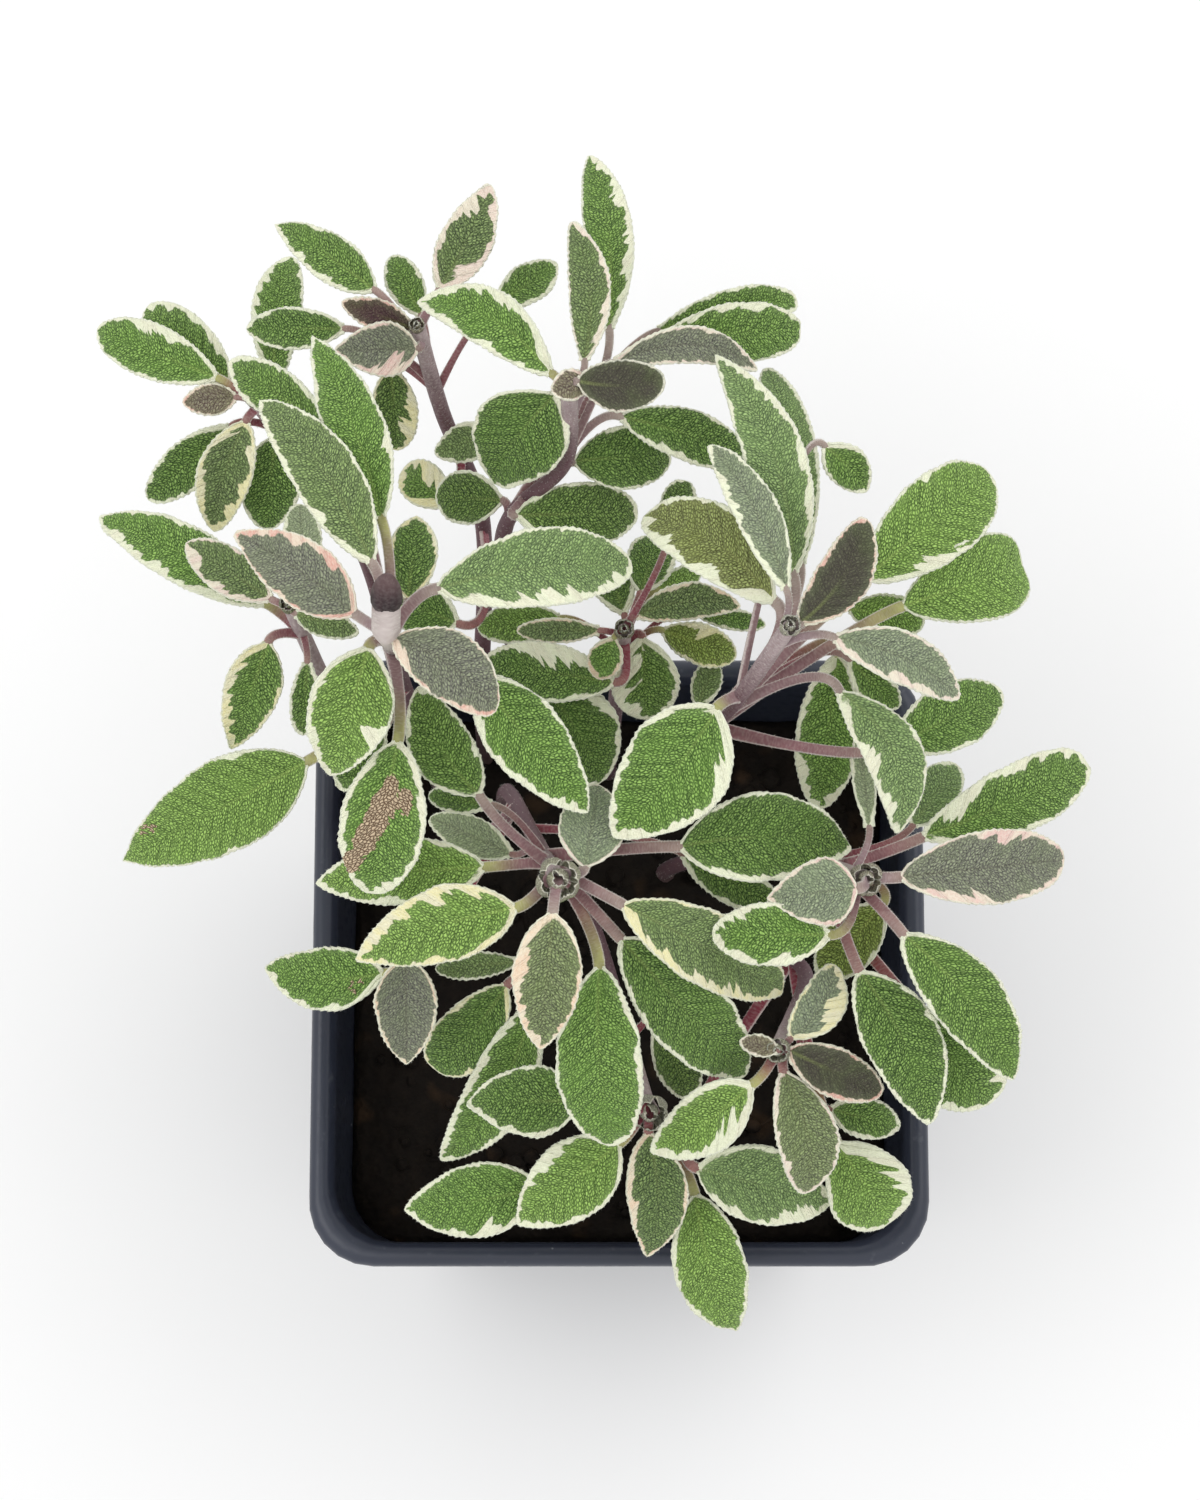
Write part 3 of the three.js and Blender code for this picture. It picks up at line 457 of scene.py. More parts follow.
# Dry brown marks: stem and leaf, then (across in mm, middle and half-length along the blade, half-width
# in mm, depth)
SCARS = {
    ("b", 6): [
        (-0.4, 0.27, 0.1, 1.6, 0.9), (0.2, 0.38, 0.12, 2.9, 1.0), (1.4, 0.5, 0.12, 2.8, 1.0),
        (2.6, 0.62, 0.12, 2.6, 1.0), (4.4, 0.77, 0.1, 2.3, 1.0), (-3.2, 0.34, 0.1, 2.0, 0.8),
    ],
    ("b", 7): [(3.0, 0.78, 0.05, 1.6, 0.55)],
    ("a", 11): [(-1.5, 0.2, 0.08, 1.8, 0.5)],
}

# Shoot tips: how far the cup of youngest leaves reaches, how many they are, their colours outside and
# inside. Stem b ends in a bud instead.
CROWNS = {
    "a": (3.9, 5, (172, 158, 150), (74, 80, 60)),
    "c": (1.9, 4, (176, 160, 160), (110, 100, 96)),
    "d": (2.0, 3, (118, 92, 98), (84, 64, 70)),
    "e": (1.5, 3, (120, 84, 90), (84, 60, 64)),
    "f": (3.0, 4, (160, 136, 138), (96, 92, 80)),
    "g": (2.3, 4, (150, 134, 132), (90, 84, 76)),
    "h": (3.5, 5, (196, 184, 180), (120, 100, 96)),
    "i": (1.9, 4, (124, 94, 98), (80, 64, 62)),
    "j": (1.8, 3, (88, 66, 66), (60, 46, 46)),
    "k": (1.5, 3, (140, 120, 118), (88, 80, 70)),
}

# What is passed on about a blade in space, a leaf's looks, a point of a leaf's finish, and a cup
Blade = namedtuple("Blade", "base tip along side up length half bow arch widest droop")
Look = namedtuple("Look", "tint left right rim patches scars seed wool")
Spot = namedtuple("Spot", "x edge margin scar seed spread slanted")
Cup = namedtuple("Cup", "tip axis out across reach count outer inner rim bare_edge inner_wool seed")


def linear(colour):
    """A colour given as 0 to 255 values, as linear light with full alpha"""
    shares = [channel / 255 for channel in colour]
    return (*[((share + 0.055) / 1.055) ** 2.4 for share in shares], 1.0)


def blend(first, second, share):
    return tuple(a + (b - a) * share for a, b in zip(first, second))


def clamp(value, low=0.0, high=1.0):
    return max(low, min(high, value))


def smooth(start, end, value):
    share = clamp((value - start) / (end - start))
    return share * share * (3 - 2 * share)


def ripple(*place):
    """Smooth noise from -1 to 1"""
    spot = list(place) + [0.0] * (3 - len(place))
    return noise.noise(Vector(spot))


def sight(u, v, z):
    """The point at height z above the rim on the line of sight through (u, v)"""
    seen = Vector((u, 0, RIM_HEIGHT)) + PLANE_UP * v
    height = RIM_HEIGHT + z
    return EYE.lerp(seen, (EYE.z - height) / (EYE.z - seen.z))


def on_curve(points, share):
    """A point on the centripetal Catmull-Rom curve through the points"""
    place = share * (len(points) - 1)
    span = min(int(place), len(points) - 2)
    ahead = place - span
    start, end = points[span], points[span + 1]
    before = points[span - 1] if span > 0 else start * 2 - end
    after = points[span + 2] if span + 2 < len(points) else end * 2 - start
    first = math.sqrt((start - before).length)
    middle = math.sqrt((end - start).length)
    last = math.sqrt((after - end).length)
    step = (end - start) / middle
    leave = ((start - before) / first - (end - before) / (first + middle) + step) * middle
    arrive = (step - (after - start) / (middle + last) + (after - end) / last) * middle
    square, cube = ahead ** 2, ahead ** 3
    point = start * (2 * cube - 3 * square + 1) + end * (3 * square - 2 * cube)
    return point + leave * (cube - 2 * square + ahead) + arrive * (cube - square)


def stem_points(stem):
    """Points of a stem's line: straight up out of the soil, then on to its tip"""
    x, y = stem["soil"]
    heights = [SOIL_TOP - STEM_DEPTH, SOIL_TOP, SOIL_TOP + STEM_NECK]
    in_soil = [Vector((x, y, height)) for height in heights]
    return in_soil + [sight(*point) for point in stem["by"] + [stem["tip"]]]


def place_blade(row):
    """A leaf row as a blade in space: where it runs, which way is sideways and how wide it is"""
    base = sight(*row[0:3])
    tip = sight(*row[3:6])
    width, bow, arch, widest = row[6:10]
    along = (tip - base).normalized()
    to_eye = EYE - base.lerp(tip, 0.5)
    nearness = to_eye.length / EYE_TO_RIM
    side = along.cross(to_eye).normalized()
    up = side.cross(along)
    half = width / 2 * nearness
    droop = half * (0.08 + 0.17 * ripple(base.x / 7, base.y / 7, base.z / 7))
    return Blade(base, tip, along, side, up, (tip - base).length, half, bow * nearness, arch, widest, droop)


def tip_fullness(widest):
    """How blunt the tip is: a blade that is widest near its base has the more pointed one"""
    return TIP_FULLNESS + TIP_TAPER * (USUAL_WIDEST - widest)


def blade_shape(t, widest):
    """Half the width of a blade at t along it, as a share of half its full width"""
    if t < widest:
        return math.sin(math.pi / 2 * t / widest) ** BASE_FULLNESS
    return max(0.0, math.cos(math.pi / 2 * (t - widest) / (1 - widest))) ** tip_fullness(widest)


def shape_ends(share, widest):
    """Where along the blade its outline has this share of its half-width: near the base and near the tip"""
    low = widest * math.asin(share ** (1 / BASE_FULLNESS)) * 2 / math.pi
    high = widest + (1 - widest) * math.acos(share ** (1 / tip_fullness(widest))) * 2 / math.pi
    return low, high


def middle_line(blade, t):
    """A blade's middle at t: arched, bowed to the right and drooping at the tip"""
    swell = 4 * t * (1 - t)
    raised = blade.arch * swell - blade.droop * (max(0.0, t - DROOP_START) / (1 - DROOP_START)) ** 2
    return blade.base.lerp(blade.tip, t) + blade.up * raised + blade.side * (blade.bow * swell)


def stalk_root(line, base):
    """Where a stalk leaves a stem's line for a blade base: near it, and low enough to climb"""
    def cost(point):
        away = math.hypot(base.x - point.x, base.y - point.y)
        too_high = max(0.0, point.z - (base.z - STALK_CLIMB * away))
        return (base - point).length + STALK_DROP_COST * too_high

    steps = range(round(LOWEST_STALK * STALK_STEPS), STALK_STEPS + 1)
    return min((on_curve(line, step / STALK_STEPS) for step in steps), key=cost)


# Shapes

def laid_grid(bm, columns, rows, place):
    """A grid of quads laid in space by place(across, along), both from 0 to 1"""
    made = bmesh.ops.create_grid(bm, x_segments=columns, y_segments=rows, size=0.5)["verts"]
    for vert in made:
        vert.co = place(vert, vert.co.x + 0.5, vert.co.y + 0.5)
    return made


def close_skin(bm, made, gap=SEAM_GAP):
    """Joins the seam of a round grid and fills its two ends"""
    bmesh.ops.remove_doubles(bm, verts=made, dist=gap)
    ends = [edge for edge in bm.edges if edge.is_boundary]
    bmesh.ops.holes_fill(bm, edges=ends, sides=0)


def tube(bm, points, frames, section, columns, mark):
    """A closed tube: section(share along, angle) gives how far a skin point lies to the side and up"""
    rows = len(points) - 1

    def place(vert, across, along):
        ring = round(along * rows)
        angle = 2 * math.pi * across
        sideways, upwards = section(ring / rows, angle)
        side, up = frames[ring]
        mark(vert, across, ring / rows)
        return points[ring] + side * sideways + up * upwards

    close_skin(bm, laid_grid(bm, columns, rows, place))


def carried_frames(points, side):
    """A side and an up direction at each point of a line, turned along with it as little as possible"""
    frames = []
    for i in range(len(points)):
        ahead = points[min(i + 1, len(points) - 1)] - points[max(i - 1, 0)]
        side = (side - ahead * (side.dot(ahead) / ahead.length_squared)).normalized()
        frames.append((side, side.cross(ahead.normalized()) * -1))
    return frames


def outward(frame, angle):
    """The direction at an angle round a line, in one of its frames"""
    side, up = frame
    return side * math.cos(angle) + up * math.sin(angle)


class Layers:
    """What a leaf's finish reads at each point of its mesh"""

    def __init__(self, bm):
        self.place = bm.verts.layers.float_vector.new("place")
        self.marks = bm.verts.layers.float_vector.new("marks")
        self.veins = bm.verts.layers.float.new("veins")
        self.tint = bm.verts.layers.float_color.new("tint")
        self.rim = bm.verts.layers.float_color.new("rim")


def mark_skin(vert, layers, place, seed, colour, wool):
    """Stores what the stalk finish reads: a place on the skin, a seed, the colour and how woolly it is"""
    vert[layers.place] = place
    vert[layers.marks] = (0, 0, seed)
    vert[layers.tint] = (*colour[:3], wool)


def metre_mesh(bm, name):
    """A bmesh in millimetres as a mesh in metres"""
    mesh = bpy.data.meshes.new(name)
    bmesh.ops.scale(bm, vec=(MM, MM, MM), verts=bm.verts)
    bm.to_mesh(mesh)
    bm.free()
    return mesh


def add_object(name, data):
    made = bpy.data.objects.new(name, data)
    bpy.context.scene.collection.objects.link(made)
    return made


def finish_mesh(bm, name, finishes, replaced=None):
    """The bmesh as a piece in metres, smooth, riding on the object's one body"""
    mesh = metre_mesh(bm, name)
    for finish in finishes:
        mesh.materials.append(finish)
    mesh.shade_smooth()
    piece = add_object(name, mesh)
    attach(piece, "root")
    if replaced:
        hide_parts(replaced)
    return piece


# Blades

def edge_reach(blade, look, t, s, hand):
    """Half the blade's width at t on one hand, with its waves and its small round teeth"""
    reach = blade.half * blade_shape(t, blade.widest)
    wave = 1 + 0.05 * ripple(s / 4.5, look.seed, hand)
    turns = s / TOOTH_PITCH + 0.3 * ripple(s / 3, look.seed)
    tooth = TOOTH_DEPTH * math.cos(2 * math.pi * turns) * smooth(0, 1.5, reach)
    least = BLADE_NECK if t < 0.5 else 0
    return max(reach * wave + tooth, least)


def margin_width(look, t, s, hand):
    """Width of the pale margin at t on one hand, with the patches that widen it"""
    width = look.right if hand > 0 else look.left
    width *= 0.8 + 0.75 * ripple(s / 5, look.seed + 5, hand)
    for side, middle, half, depth in look.patches:
        if side == hand:
            width += depth * smooth(half, 0, abs(t - middle))
    return width


def scar_depth(look, t, x):
    """How dry the blade is at a point, up to 1"""
    deepest = 0
    for across, middle, half_length, half_width, depth in look.scars:
        away = math.hypot((t - middle) / half_length, (x - across) / half_width)
        deepest = max(deepest, depth * smooth(1.15, 0.55, away))
    return deepest


def edge_distance(blade, t, reach, x):
    """How far a point lies from the outline, across or along the blade, whichever is nearer"""
    across = max(reach - abs(x), 0.0)
    share = clamp(abs(x) / blade.half)
    low, high = shape_ends(share, blade.widest)
    near_base = max(t - low, 0.0) * blade.length if t < blade.widest else blade.length
    near_tip = max(high - t, 0.0) * blade.length if t > blade.widest else blade.length
    along = min(near_base, near_tip)
    return across * along / math.hypot(across, along) if along > 0 and across > 0 else 0.0


def blade_slices(blade, look, rows):
    """For each row across a blade: where it is, its middle, and its reach and margin on each hand"""
    slices = []
    for row in range(rows + 1):
        even = row / rows
        t = 0.5 * even + 0.5 * (0.5 - 0.5 * math.cos(math.pi * even))
        s = t * blade.length
        reaches = {hand: edge_reach(blade, look, t, s, hand) for hand in (-1, 1)}
        margins = {hand: margin_width(look, t, s, hand) for hand in (-1, 1)}
        slices.append((t, s, middle_line(blade, t), reaches, margins))
    return slices


def blade_relief(blade, look, vein_pitch, draw):
    """How far the skin stands above the blade's middle: fold, cupping, waves, midrib, veins and puckers"""
    cup = draw.uniform(-0.012, 0.02)
    ruffle = draw.uniform(0.3, 0.8) * clamp(blade.half / 7)
    twist = draw.uniform(-0.12, 0.12)

    def relief(t, s, x, reach):
        share = abs(x) / max(reach, 0.1)
        hand = 1 if x > 0 else -1
        fold = BLADE_FOLD * (math.hypot(x, FOLD_ROUND) - FOLD_ROUND)
        waves = ruffle * share ** 2 * smooth(0, 0.25, t) * ripple(s / 5, look.seed + 9, 3 * hand) * 2
        midrib = -MIDRIB_DEPTH * math.exp(-(x / MIDRIB_WIDTH) ** 2) * smooth(1, 0.75, t)
        vein = (s - VEIN_SLANT * abs(x)) / vein_pitch
        off_vein = abs(vein - round(vein)) * vein_pitch
        sunk = -VEIN_DEPTH * math.exp(-(off_vein / VEIN_WIDTH) ** 2)
        sunk *= smooth(0.3, 1.5, abs(x)) * (1 - share ** 3)
        pucker = PUCKER_DEPTH * ripple(x / PUCKER_SIZE, s / PUCKER_SIZE, look.seed) * (1 - share ** 4)
        return fold + cup * x * x + waves + midrib + sunk + pucker + twist * x * (t - 0.3)

    return relief


def lay_blade(bm, layers, blade, look, fringe, draw):
    """One blade: its top laid out row by row, then a second skin below"""
    columns = max(8, 2 * round(blade.half / BLADE_PITCH))
    rows = max(12, round(blade.length / BLADE_PITCH))
    vein_pitch = clamp(blade.length / VEINS_A_SIDE, VEIN_PITCH_LEAST, VEIN_PITCH_MOST)
    relief = blade_relief(blade, look, vein_pitch, draw)
    tint = linear(look.tint)
    rim = linear(look.rim)
    slices = blade_slices(blade, look, rows)

    def place(vert, across, along):
        t, s, middle, reaches, margins = slices[round(along * rows)]
        share = 2 * across - 1
        hand = 1 if share > 0 else -1
        reach = reaches[hand]
        x = share * reach
        width = margins[hand] if share else (margins[-1] + margins[1]) / 2
        vert[layers.place] = (x, s, edge_distance(blade, t, reach, x))
        vert[layers.marks] = (width, scar_depth(look, t, x), look.seed)
        vert[layers.veins] = vein_pitch
        vert[layers.tint] = (*tint[:3], look.wool)
        vert[layers.rim] = (*rim[:3], smooth(0.6, 0.05, t))
        spot = middle + blade.side * x + blade.up * relief(t, s, x, reach)
        if abs(share) > 0.999 and 0.03 < t < 0.995:
            out = blade.side * hand * (1.02 - t) + blade.along * (0.35 + 0.8 * t ** 3)
            fringe.append((spot, out, blade.up))
        return spot

    made = laid_grid(bm, columns, rows, place)
    tip = [vert for vert in made if vert[layers.place].y > 0.99 * blade.length]
    bmesh.ops.remove_doubles(bm, verts=tip, dist=0.02)
    faces = list({face for vert in made if vert.is_valid for face in vert.link_faces})
    shell = bmesh.ops.solidify(bm, geom=faces, thickness=BLADE_THICK)["geom"]
    for part in shell:
        if isinstance(part, bmesh.types.BMFace):
            part.material_index = 1


def shoot_cup(line, crown, seed):
    """A shoot's cup of youngest leaves. A small one is closed and woolly, a wide one shows its inside"""
    reach, count, outside, inside = crown
    tip = on_curve(line, 1)
    axis = ((tip - on_curve(line, 0.97)).normalized() + (EYE - tip).normalized()).normalized()
    out = axis.orthogonal().normalized()
    outer = linear(outside)
    openness = smooth(1.8, 3.8, reach)
    inner = blend(outer, linear(inside), 0.3 + 0.7 * openness)
    rim = blend(outer, linear(CUP_RIM), 0.35 + 0.65 * openness)
    bare_edge = 0.26 * (1 - openness)
    inner_wool = 1 - 0.7 * openness
    return Cup(tip, axis, out, axis.cross(out), reach, count, outer, inner, rim, bare_edge, inner_wool, seed)


def lay_cup_leaf(bm, layers, cup, order, fringe):
    """One young leaf of a cup. Those past its count make the smaller and more upright heart"""
    in_heart = order >= cup.count
    size = cup.reach * (0.5 if in_heart else 1)
    apart = 2 * math.pi / (CUP_HEART if in_heart else cup.count)
    middle = order * apart + 0.3 * math.sin(5 * order + cup.seed)
    spread = 0.62 * apart
    opening = 112 if in_heart else 88

    def place(vert, across, along):
        narrow = 1 - 0.55 * along ** 2
        angle = middle + (2 * across - 1) * spread * narrow
        rise = math.radians(-50 + opening * along)
        wave = 1 + 0.07 * ripple(3 * across, 2 * along, cup.seed + order)
        away = size * wave * math.cos(rise) * (1.08 - 0.16 * (2 * across - 1) ** 2)
        height = size * 0.75 * math.sin(rise)
        border = min(across, 1 - across, 1 - along) * 2 * size
        vert[layers.place] = (2 * size * (across - 0.5), size * along, border + cup.bare_edge)
        vert[layers.marks] = (0.3, 0, cup.seed + order)
        vert[layers.veins] = 4
        vert[layers.tint] = (*cup.outer[:3], 1)
        vert[layers.rim] = (*cup.rim[:3], 0)
        turn = outward((cup.out, cup.across), angle)
        spot = cup.tip + turn * away + cup.axis * (height + CUP_LIFT)
        if border < 0.01 and along > 0.3:
            fringe.append((spot, turn + cup.axis * 0.6, cup.axis))
        return spot

    made = laid_grid(bm, CUP_COLUMNS, CUP_ROWS, place)
    faces = list({face for vert in made for face in vert.link_faces})
    shell = bmesh.ops.solidify(bm, geom=faces, thickness=CUP_THICK)["geom"]
    for part in shell:
        if isinstance(part, bmesh.types.BMVert):
            part[layers.tint] = (*cup.inner[:3], cup.inner_wool)


def leaf_look(name, order, row):
    """How one leaf of a stem looks, with the patches and marks listed for it"""
    tint, left, right, rim = row[10:14]
    key = (name, order)
    seed = 17 * order + 211 * (ord(name) - ord("a"))
    wool = WOOL.get(tint, USUAL_WOOL)
    return Look(tint, left, right, rim, PATCHES.get(key, []), SCARS.get(key, []), seed, wool)


def make_blades(name, finishes, fringe):
    """All blades of a stem and the cup at its tip"""
    stem = STEMS[name]
    draw = random.Random(f"blades {name}")
    bm = bmesh.new()
    layers = Layers(bm)
    for order, row in enumerate(stem["leaves"]):
        lay_blade(bm, layers, place_blade(row), leaf_look(name, order, row), fringe, draw)
    if name in CROWNS:
        cup = shoot_cup(stem_points(stem), CROWNS[name], 900 + ord(name))
        for order in range(cup.count + CUP_HEART):
            lay_cup_leaf(bm, layers, cup, order, fringe)
    return finish_mesh(bm, f"blades_{name}", finishes, f"leafy_stem_{name}")


# Stems and stalks

def stem_section(radius):
    """A stem's squarish section"""
    def section(share, angle):
        reach = radius(share) * (1 + 0.06 * math.cos(4 * angle))
        return reach * math.cos(angle), reach * math.sin(angle)
    return section


def lay_stem(bm, layers, line, hairs, draw):
    """A stem from its foot in the soil to its tip, woody below and woolly above"""
    length = sum((on_curve(line, i / 40) - on_curve(line, (i + 1) / 40)).length for i in range(40))
    rows = round(length / STEM_ROW)
    points = [on_curve(line, i / rows) for i in range(rows + 1)]
    frames = carried_frames(points, Vector((1, 0, 0)))
    seed = draw.uniform(0, 90)
    woody, purple, woolly = linear(WOODY), linear(PURPLE), linear(WOOLLY)

    def radius(share):
        swell = 1 + 0.07 * ripple(share * 9, seed) + 0.03 * ripple(share * 40, seed)
        slimmed = min(1, share / STEM_SLIM)
        return (STEM_BASE_RADIUS + (STEM_TIP_RADIUS - STEM_BASE_RADIUS) * slimmed) * swell

    def mark(vert, across, share):
        young = blend(purple, woolly, smooth(0.82, 1.0, share))
        colour = blend(woody, young, smooth(0.2, 0.6, share))
        wool = 0.1 + 0.5 * smooth(0.7, 1.0, share)
        mark_skin(vert, layers, (4 * across, share * length, 0), seed, colour, wool)

    tube(bm, points, frames, stem_section(radius), STEM_SIDES, mark)
    for _ in range(round(length * STEM_HAIRS)):
        share = draw.uniform(0.4, 1.0)
        ring = round(share * rows)
        side, up = frames[ring]
        away = outward(frames[ring], draw.uniform(0, 2 * math.pi))
        skin = points[ring] + away * radius(share) * 0.97
        hairs.append((skin, away, up.cross(side), draw.uniform(0.15, 0.4)))


def rib_size(size, share):
    """Half a rib's width or depth, from the stalk's size down to that of its end"""
    return size + (RIB_END_RADIUS - size) * share ** 0.6


def stalk_scale(blade):
    """How thick a stalk is: a small blade has a thinner one"""
    return clamp(blade.half / FULL_STALK_BLADE, 0.6, 1.0)


def bent_stalk(blade, root, foot):
    """Points, frames and length of a stalk that bends from its root to run on along its blade"""
    reach = min(STALK_REACH * (foot - root).length, STALK_REACH_MOST)
    lead = foot - blade.along * reach
    length = (lead - root).length + reach
    rows = max(5, round(length / STALK_ROW))
    points = []
    frames = []
    for i in range(rows):
        share = i / rows
        points.append(root.lerp(lead, share).lerp(lead.lerp(foot, share), share))
        tangent = (lead - root).lerp(foot - lead, share).normalized()
        turn = blade.along.rotation_difference(tangent)
        frames.append((turn @ blade.side, turn @ blade.up))
    return points, frames, length


def rib_points(blade):
    """Points of the rib that runs under a blade, sunk into it"""
    rows = max(6, round(RIB_END * blade.length / RIB_ROW))
    points = []
    for i in range(rows + 1):
        t = RIB_END * i / rows
        depth = rib_size(STALK_HALF_DEPTH * stalk_scale(blade), i / rows)
        sunk = depth + RIB_SUNK * smooth(0, 0.05, t) - STALK_SUNK
        points.append(middle_line(blade, t) - blade.up * sunk)
    return points


def stalk_colours(root, blade, tint):
    """Colours of a stalk at its root, of its neck and of the rib: redder low on the plant, greyer high up"""
    root_high = smooth(RIM_HEIGHT + 50, RIM_HEIGHT + 95, root.z)
    neck_high = smooth(RIM_HEIGHT + 55, RIM_HEIGHT + 100, blade.base.z)
    root_tint = blend(linear(LOW_STALK), linear(HIGH_STALK), root_high)
    neck_tint = blend(linear(LOW_NECK), linear(HIGH_NECK), neck_high)
    if tint in (BRIGHT, FRESH, OLIVE):
        neck_tint = linear(GREEN_NECK)
    if tint in (GREY, DUSK, PLUM, PALE):
        root_tint = blend(root_tint, linear(GREY_STALK), 0.5)
    return root_tint, neck_tint, blend(linear(tint), linear(PALE), 0.35)


def lay_stalk(bm, layers, line, blade, tint, hairs, draw):
    """A leaf's stalk from inside the stem, running on as the rib under its blade"""
    root = stalk_root(line, blade.base)
    scale = stalk_scale(blade)
    foot = blade.base - blade.up * (STALK_HALF_DEPTH * scale - STALK_SUNK)
    points, frames, bend_length = bent_stalk(blade, root, foot)
    bend_rows = len(points)
    points += rib_points(blade)
    rows = len(points) - 1
    frames += [(blade.side, blade.up)] * (len(points) - bend_rows)
    start = bend_rows / rows
    seed = draw.uniform(0, 90)
    root_tint, neck_tint, rib_tint = stalk_colours(root, blade, tint)

    def section(share, angle):
        width, depth = STALK_HALF_WIDTH * scale, STALK_HALF_DEPTH * scale
        if share < start:
            clasp = 1 + 0.3 * smooth(0.35 * start, 0, share)
            width, depth = width * clasp, depth * clasp
        else:
            rib = (share - start) / (1 - start)
            width, depth = rib_size(width, rib), rib_size(depth, rib)
        groove = 0.5 * depth * math.exp(-(math.cos(angle) / 0.45) ** 2) if math.sin(angle) > 0 else 0
        return width * math.cos(angle), depth * math.sin(angle) - groove

    def mark(vert, across, share):
        colour = blend(root_tint, neck_tint, smooth(0.3 * start, start, share))
        colour = blend(colour, rib_tint, smooth(start, start + 0.12, share))
        # flank is 1 on the stalk's two sides that the camera sees edge-on, where the finish paints the
        # hairs' sheen
        flank = abs(math.cos(2 * math.pi * across))
        mark_skin(vert, layers, (2 * across, share * (blade.length + bend_length), flank), seed, colour, 0.3)

    tube(bm, points, frames, section, STALK_SIDES, mark)
    for _ in range(round(bend_length * STALK_HAIRS)):
        share = draw.uniform(0.05, 1.0) * start
        ring = round(share * rows)
        side, up = frames[ring]
        angle = draw.choice((0, math.pi)) + draw.gauss(0, 0.5)
        sideways, upwards = section(share, angle)
        away = side * sideways + up * upwards
        skin = points[ring] + away * 0.97
        hairs.append((skin, away.normalized(), up.cross(side), draw.uniform(0.15, 0.38)))


def lay_bud(bm, layers, line, hairs, draw):
    """The woolly neck of the highest shoot and the dark egg-shaped bud on it, painted darker at its foot as
    shade and lighter at its top as light
    """
    start, tip, middle = on_curve(line, 0.94), on_curve(line, 1), sight(*BUD_MIDDLE)
    points = [start.lerp(tip, i / 4) for i in range(4)] + [tip.lerp(middle, i / 5) for i in range(6)]
    frames = carried_frames(points, Vector((1, 0, 0)))
    pale, dark, top = linear(BUD_NECK), linear(BUD_DARK_SHADED_FOOT), linear(BUD_LIT_TOP)

    def radius(share):
        return NECK_RADIUS + NECK_SWELL * smooth(0, 0.5, share)

    def mark(vert, across, share):
        mark_skin(vert, layers, (2 * across, 9 * share, 0), 3, pale, 0.9)

    tube(bm, points, frames, stem_section(radius), 16, mark)
    axis = (middle - tip).normalized()
    made = bmesh.ops.create_uvsphere(bm, u_segments=20, v_segments=14, radius=1)["verts"]
    upright = Vector((0, 0, 1)).rotation_difference(axis)
    for vert in made:
        x, y, height = vert.co
        wide = BUD_RADIUS * (1 - 0.16 * height) * (1 + 0.05 * ripple(x * 3, y * 3, height * 2))
        # the bud's colour runs from painted shade at its foot to painted light on its top
        mark_skin(vert, layers, (x, height * 3, 0), 3, blend(dark, top, smooth(-0.2, 0.9, height)), 0.1)
        vert.co = middle + upright @ Vector((x * wide, y * wide, BUD_RISE + height * BUD_HALF_LENGTH))
    for point, frame_here in zip(points, frames):
        for _ in range(NECK_HAIRS):
            away = outward(frame_here, draw.uniform(0, 2 * math.pi))
            hairs.append((point + away * 2.3, away, axis, draw.uniform(0.2, 0.5)))


def make_stalks(name, finish, hairs):
    """A stem with all its stalks and ribs, and its bud if it has one"""
    stem = STEMS[name]
    draw = random.Random(f"stalks {name}")
    line = stem_points(stem)
    bm = bmesh.new()
    layers = Layers(bm)
    lay_stem(bm, layers, line, hairs, draw)
    for row in stem["leaves"]:
        lay_stalk(bm, layers, line, place_blade(row), row[10], hairs, draw)
    if name not in CROWNS:
        lay_bud(bm, layers, line, hairs, draw)
    return finish_mesh(bm, f"stalks_{name}", [finish], f"leafy_stem_{name}")


# Hairs

def repeat_spike(bm, count):
    """Copies of one three-sided spike, each as its four points"""
    bmesh.ops.create_cone(bm, segments=3, radius1=1, radius2=0, depth=1, cap_ends=True)
    made = 1
    while made < count:
        bmesh.ops.duplicate(bm, geom=bm.verts[:] + bm.edges[:] + bm.faces[:])
        made *= 2
    tips = [vert for vert in bm.verts if vert.co.z > 0]
    spikes = [[tip] + [edge.other_vert(tip) for edge in tip.link_edges] for tip in tips]
    spare = [vert for spike in spikes[count:] for vert in spike]
    bmesh.ops.delete(bm, geom=spare, context="VERTS")
    return spikes[:count]


def make_down(name, hairs, finish):
    """All hairs of a stem, each a thin spike from its root along its direction"""
    bm = bmesh.new()
    for spike, (root, ahead, length) in zip(repeat_spike(bm, len(hairs)), hairs):
        first = ahead.orthogonal().normalized() * HAIR_RADIUS
        second = ahead.cross(first)
        for vert in spike:
            x, y, z = vert.co
            vert.co = root + first * x + second * y + ahead * ((z + 0.5) * length)
    return finish_mesh(bm, f"down_{name}", [finish])


def jitter(draw, reach):
    """A small random turn for a hair"""
    return Vector((draw.uniform(-reach, reach), draw.uniform(-reach, reach), draw.uniform(-reach, reach)))


def hair_list(fringe, hairs, draw):
    """Root, direction and length of every hair of a stem"""
    grown = []
    for spot, out, up in fringe:
        for _ in range(EDGE_HAIRS):
            tilt = up * draw.uniform(-0.5, 0.5)
            ahead = (out.normalized() + tilt + jitter(draw, 0.3)).normalized()
            grown.append((spot - ahead * 0.05, ahead, draw.uniform(0.2, 0.48)))
    for spot, away, along, length in hairs:
        ahead = (away + along * 0.3 + jitter(draw, 0.4)).normalized()
        grown.append((spot, ahead, length))
    return grown


# Pot

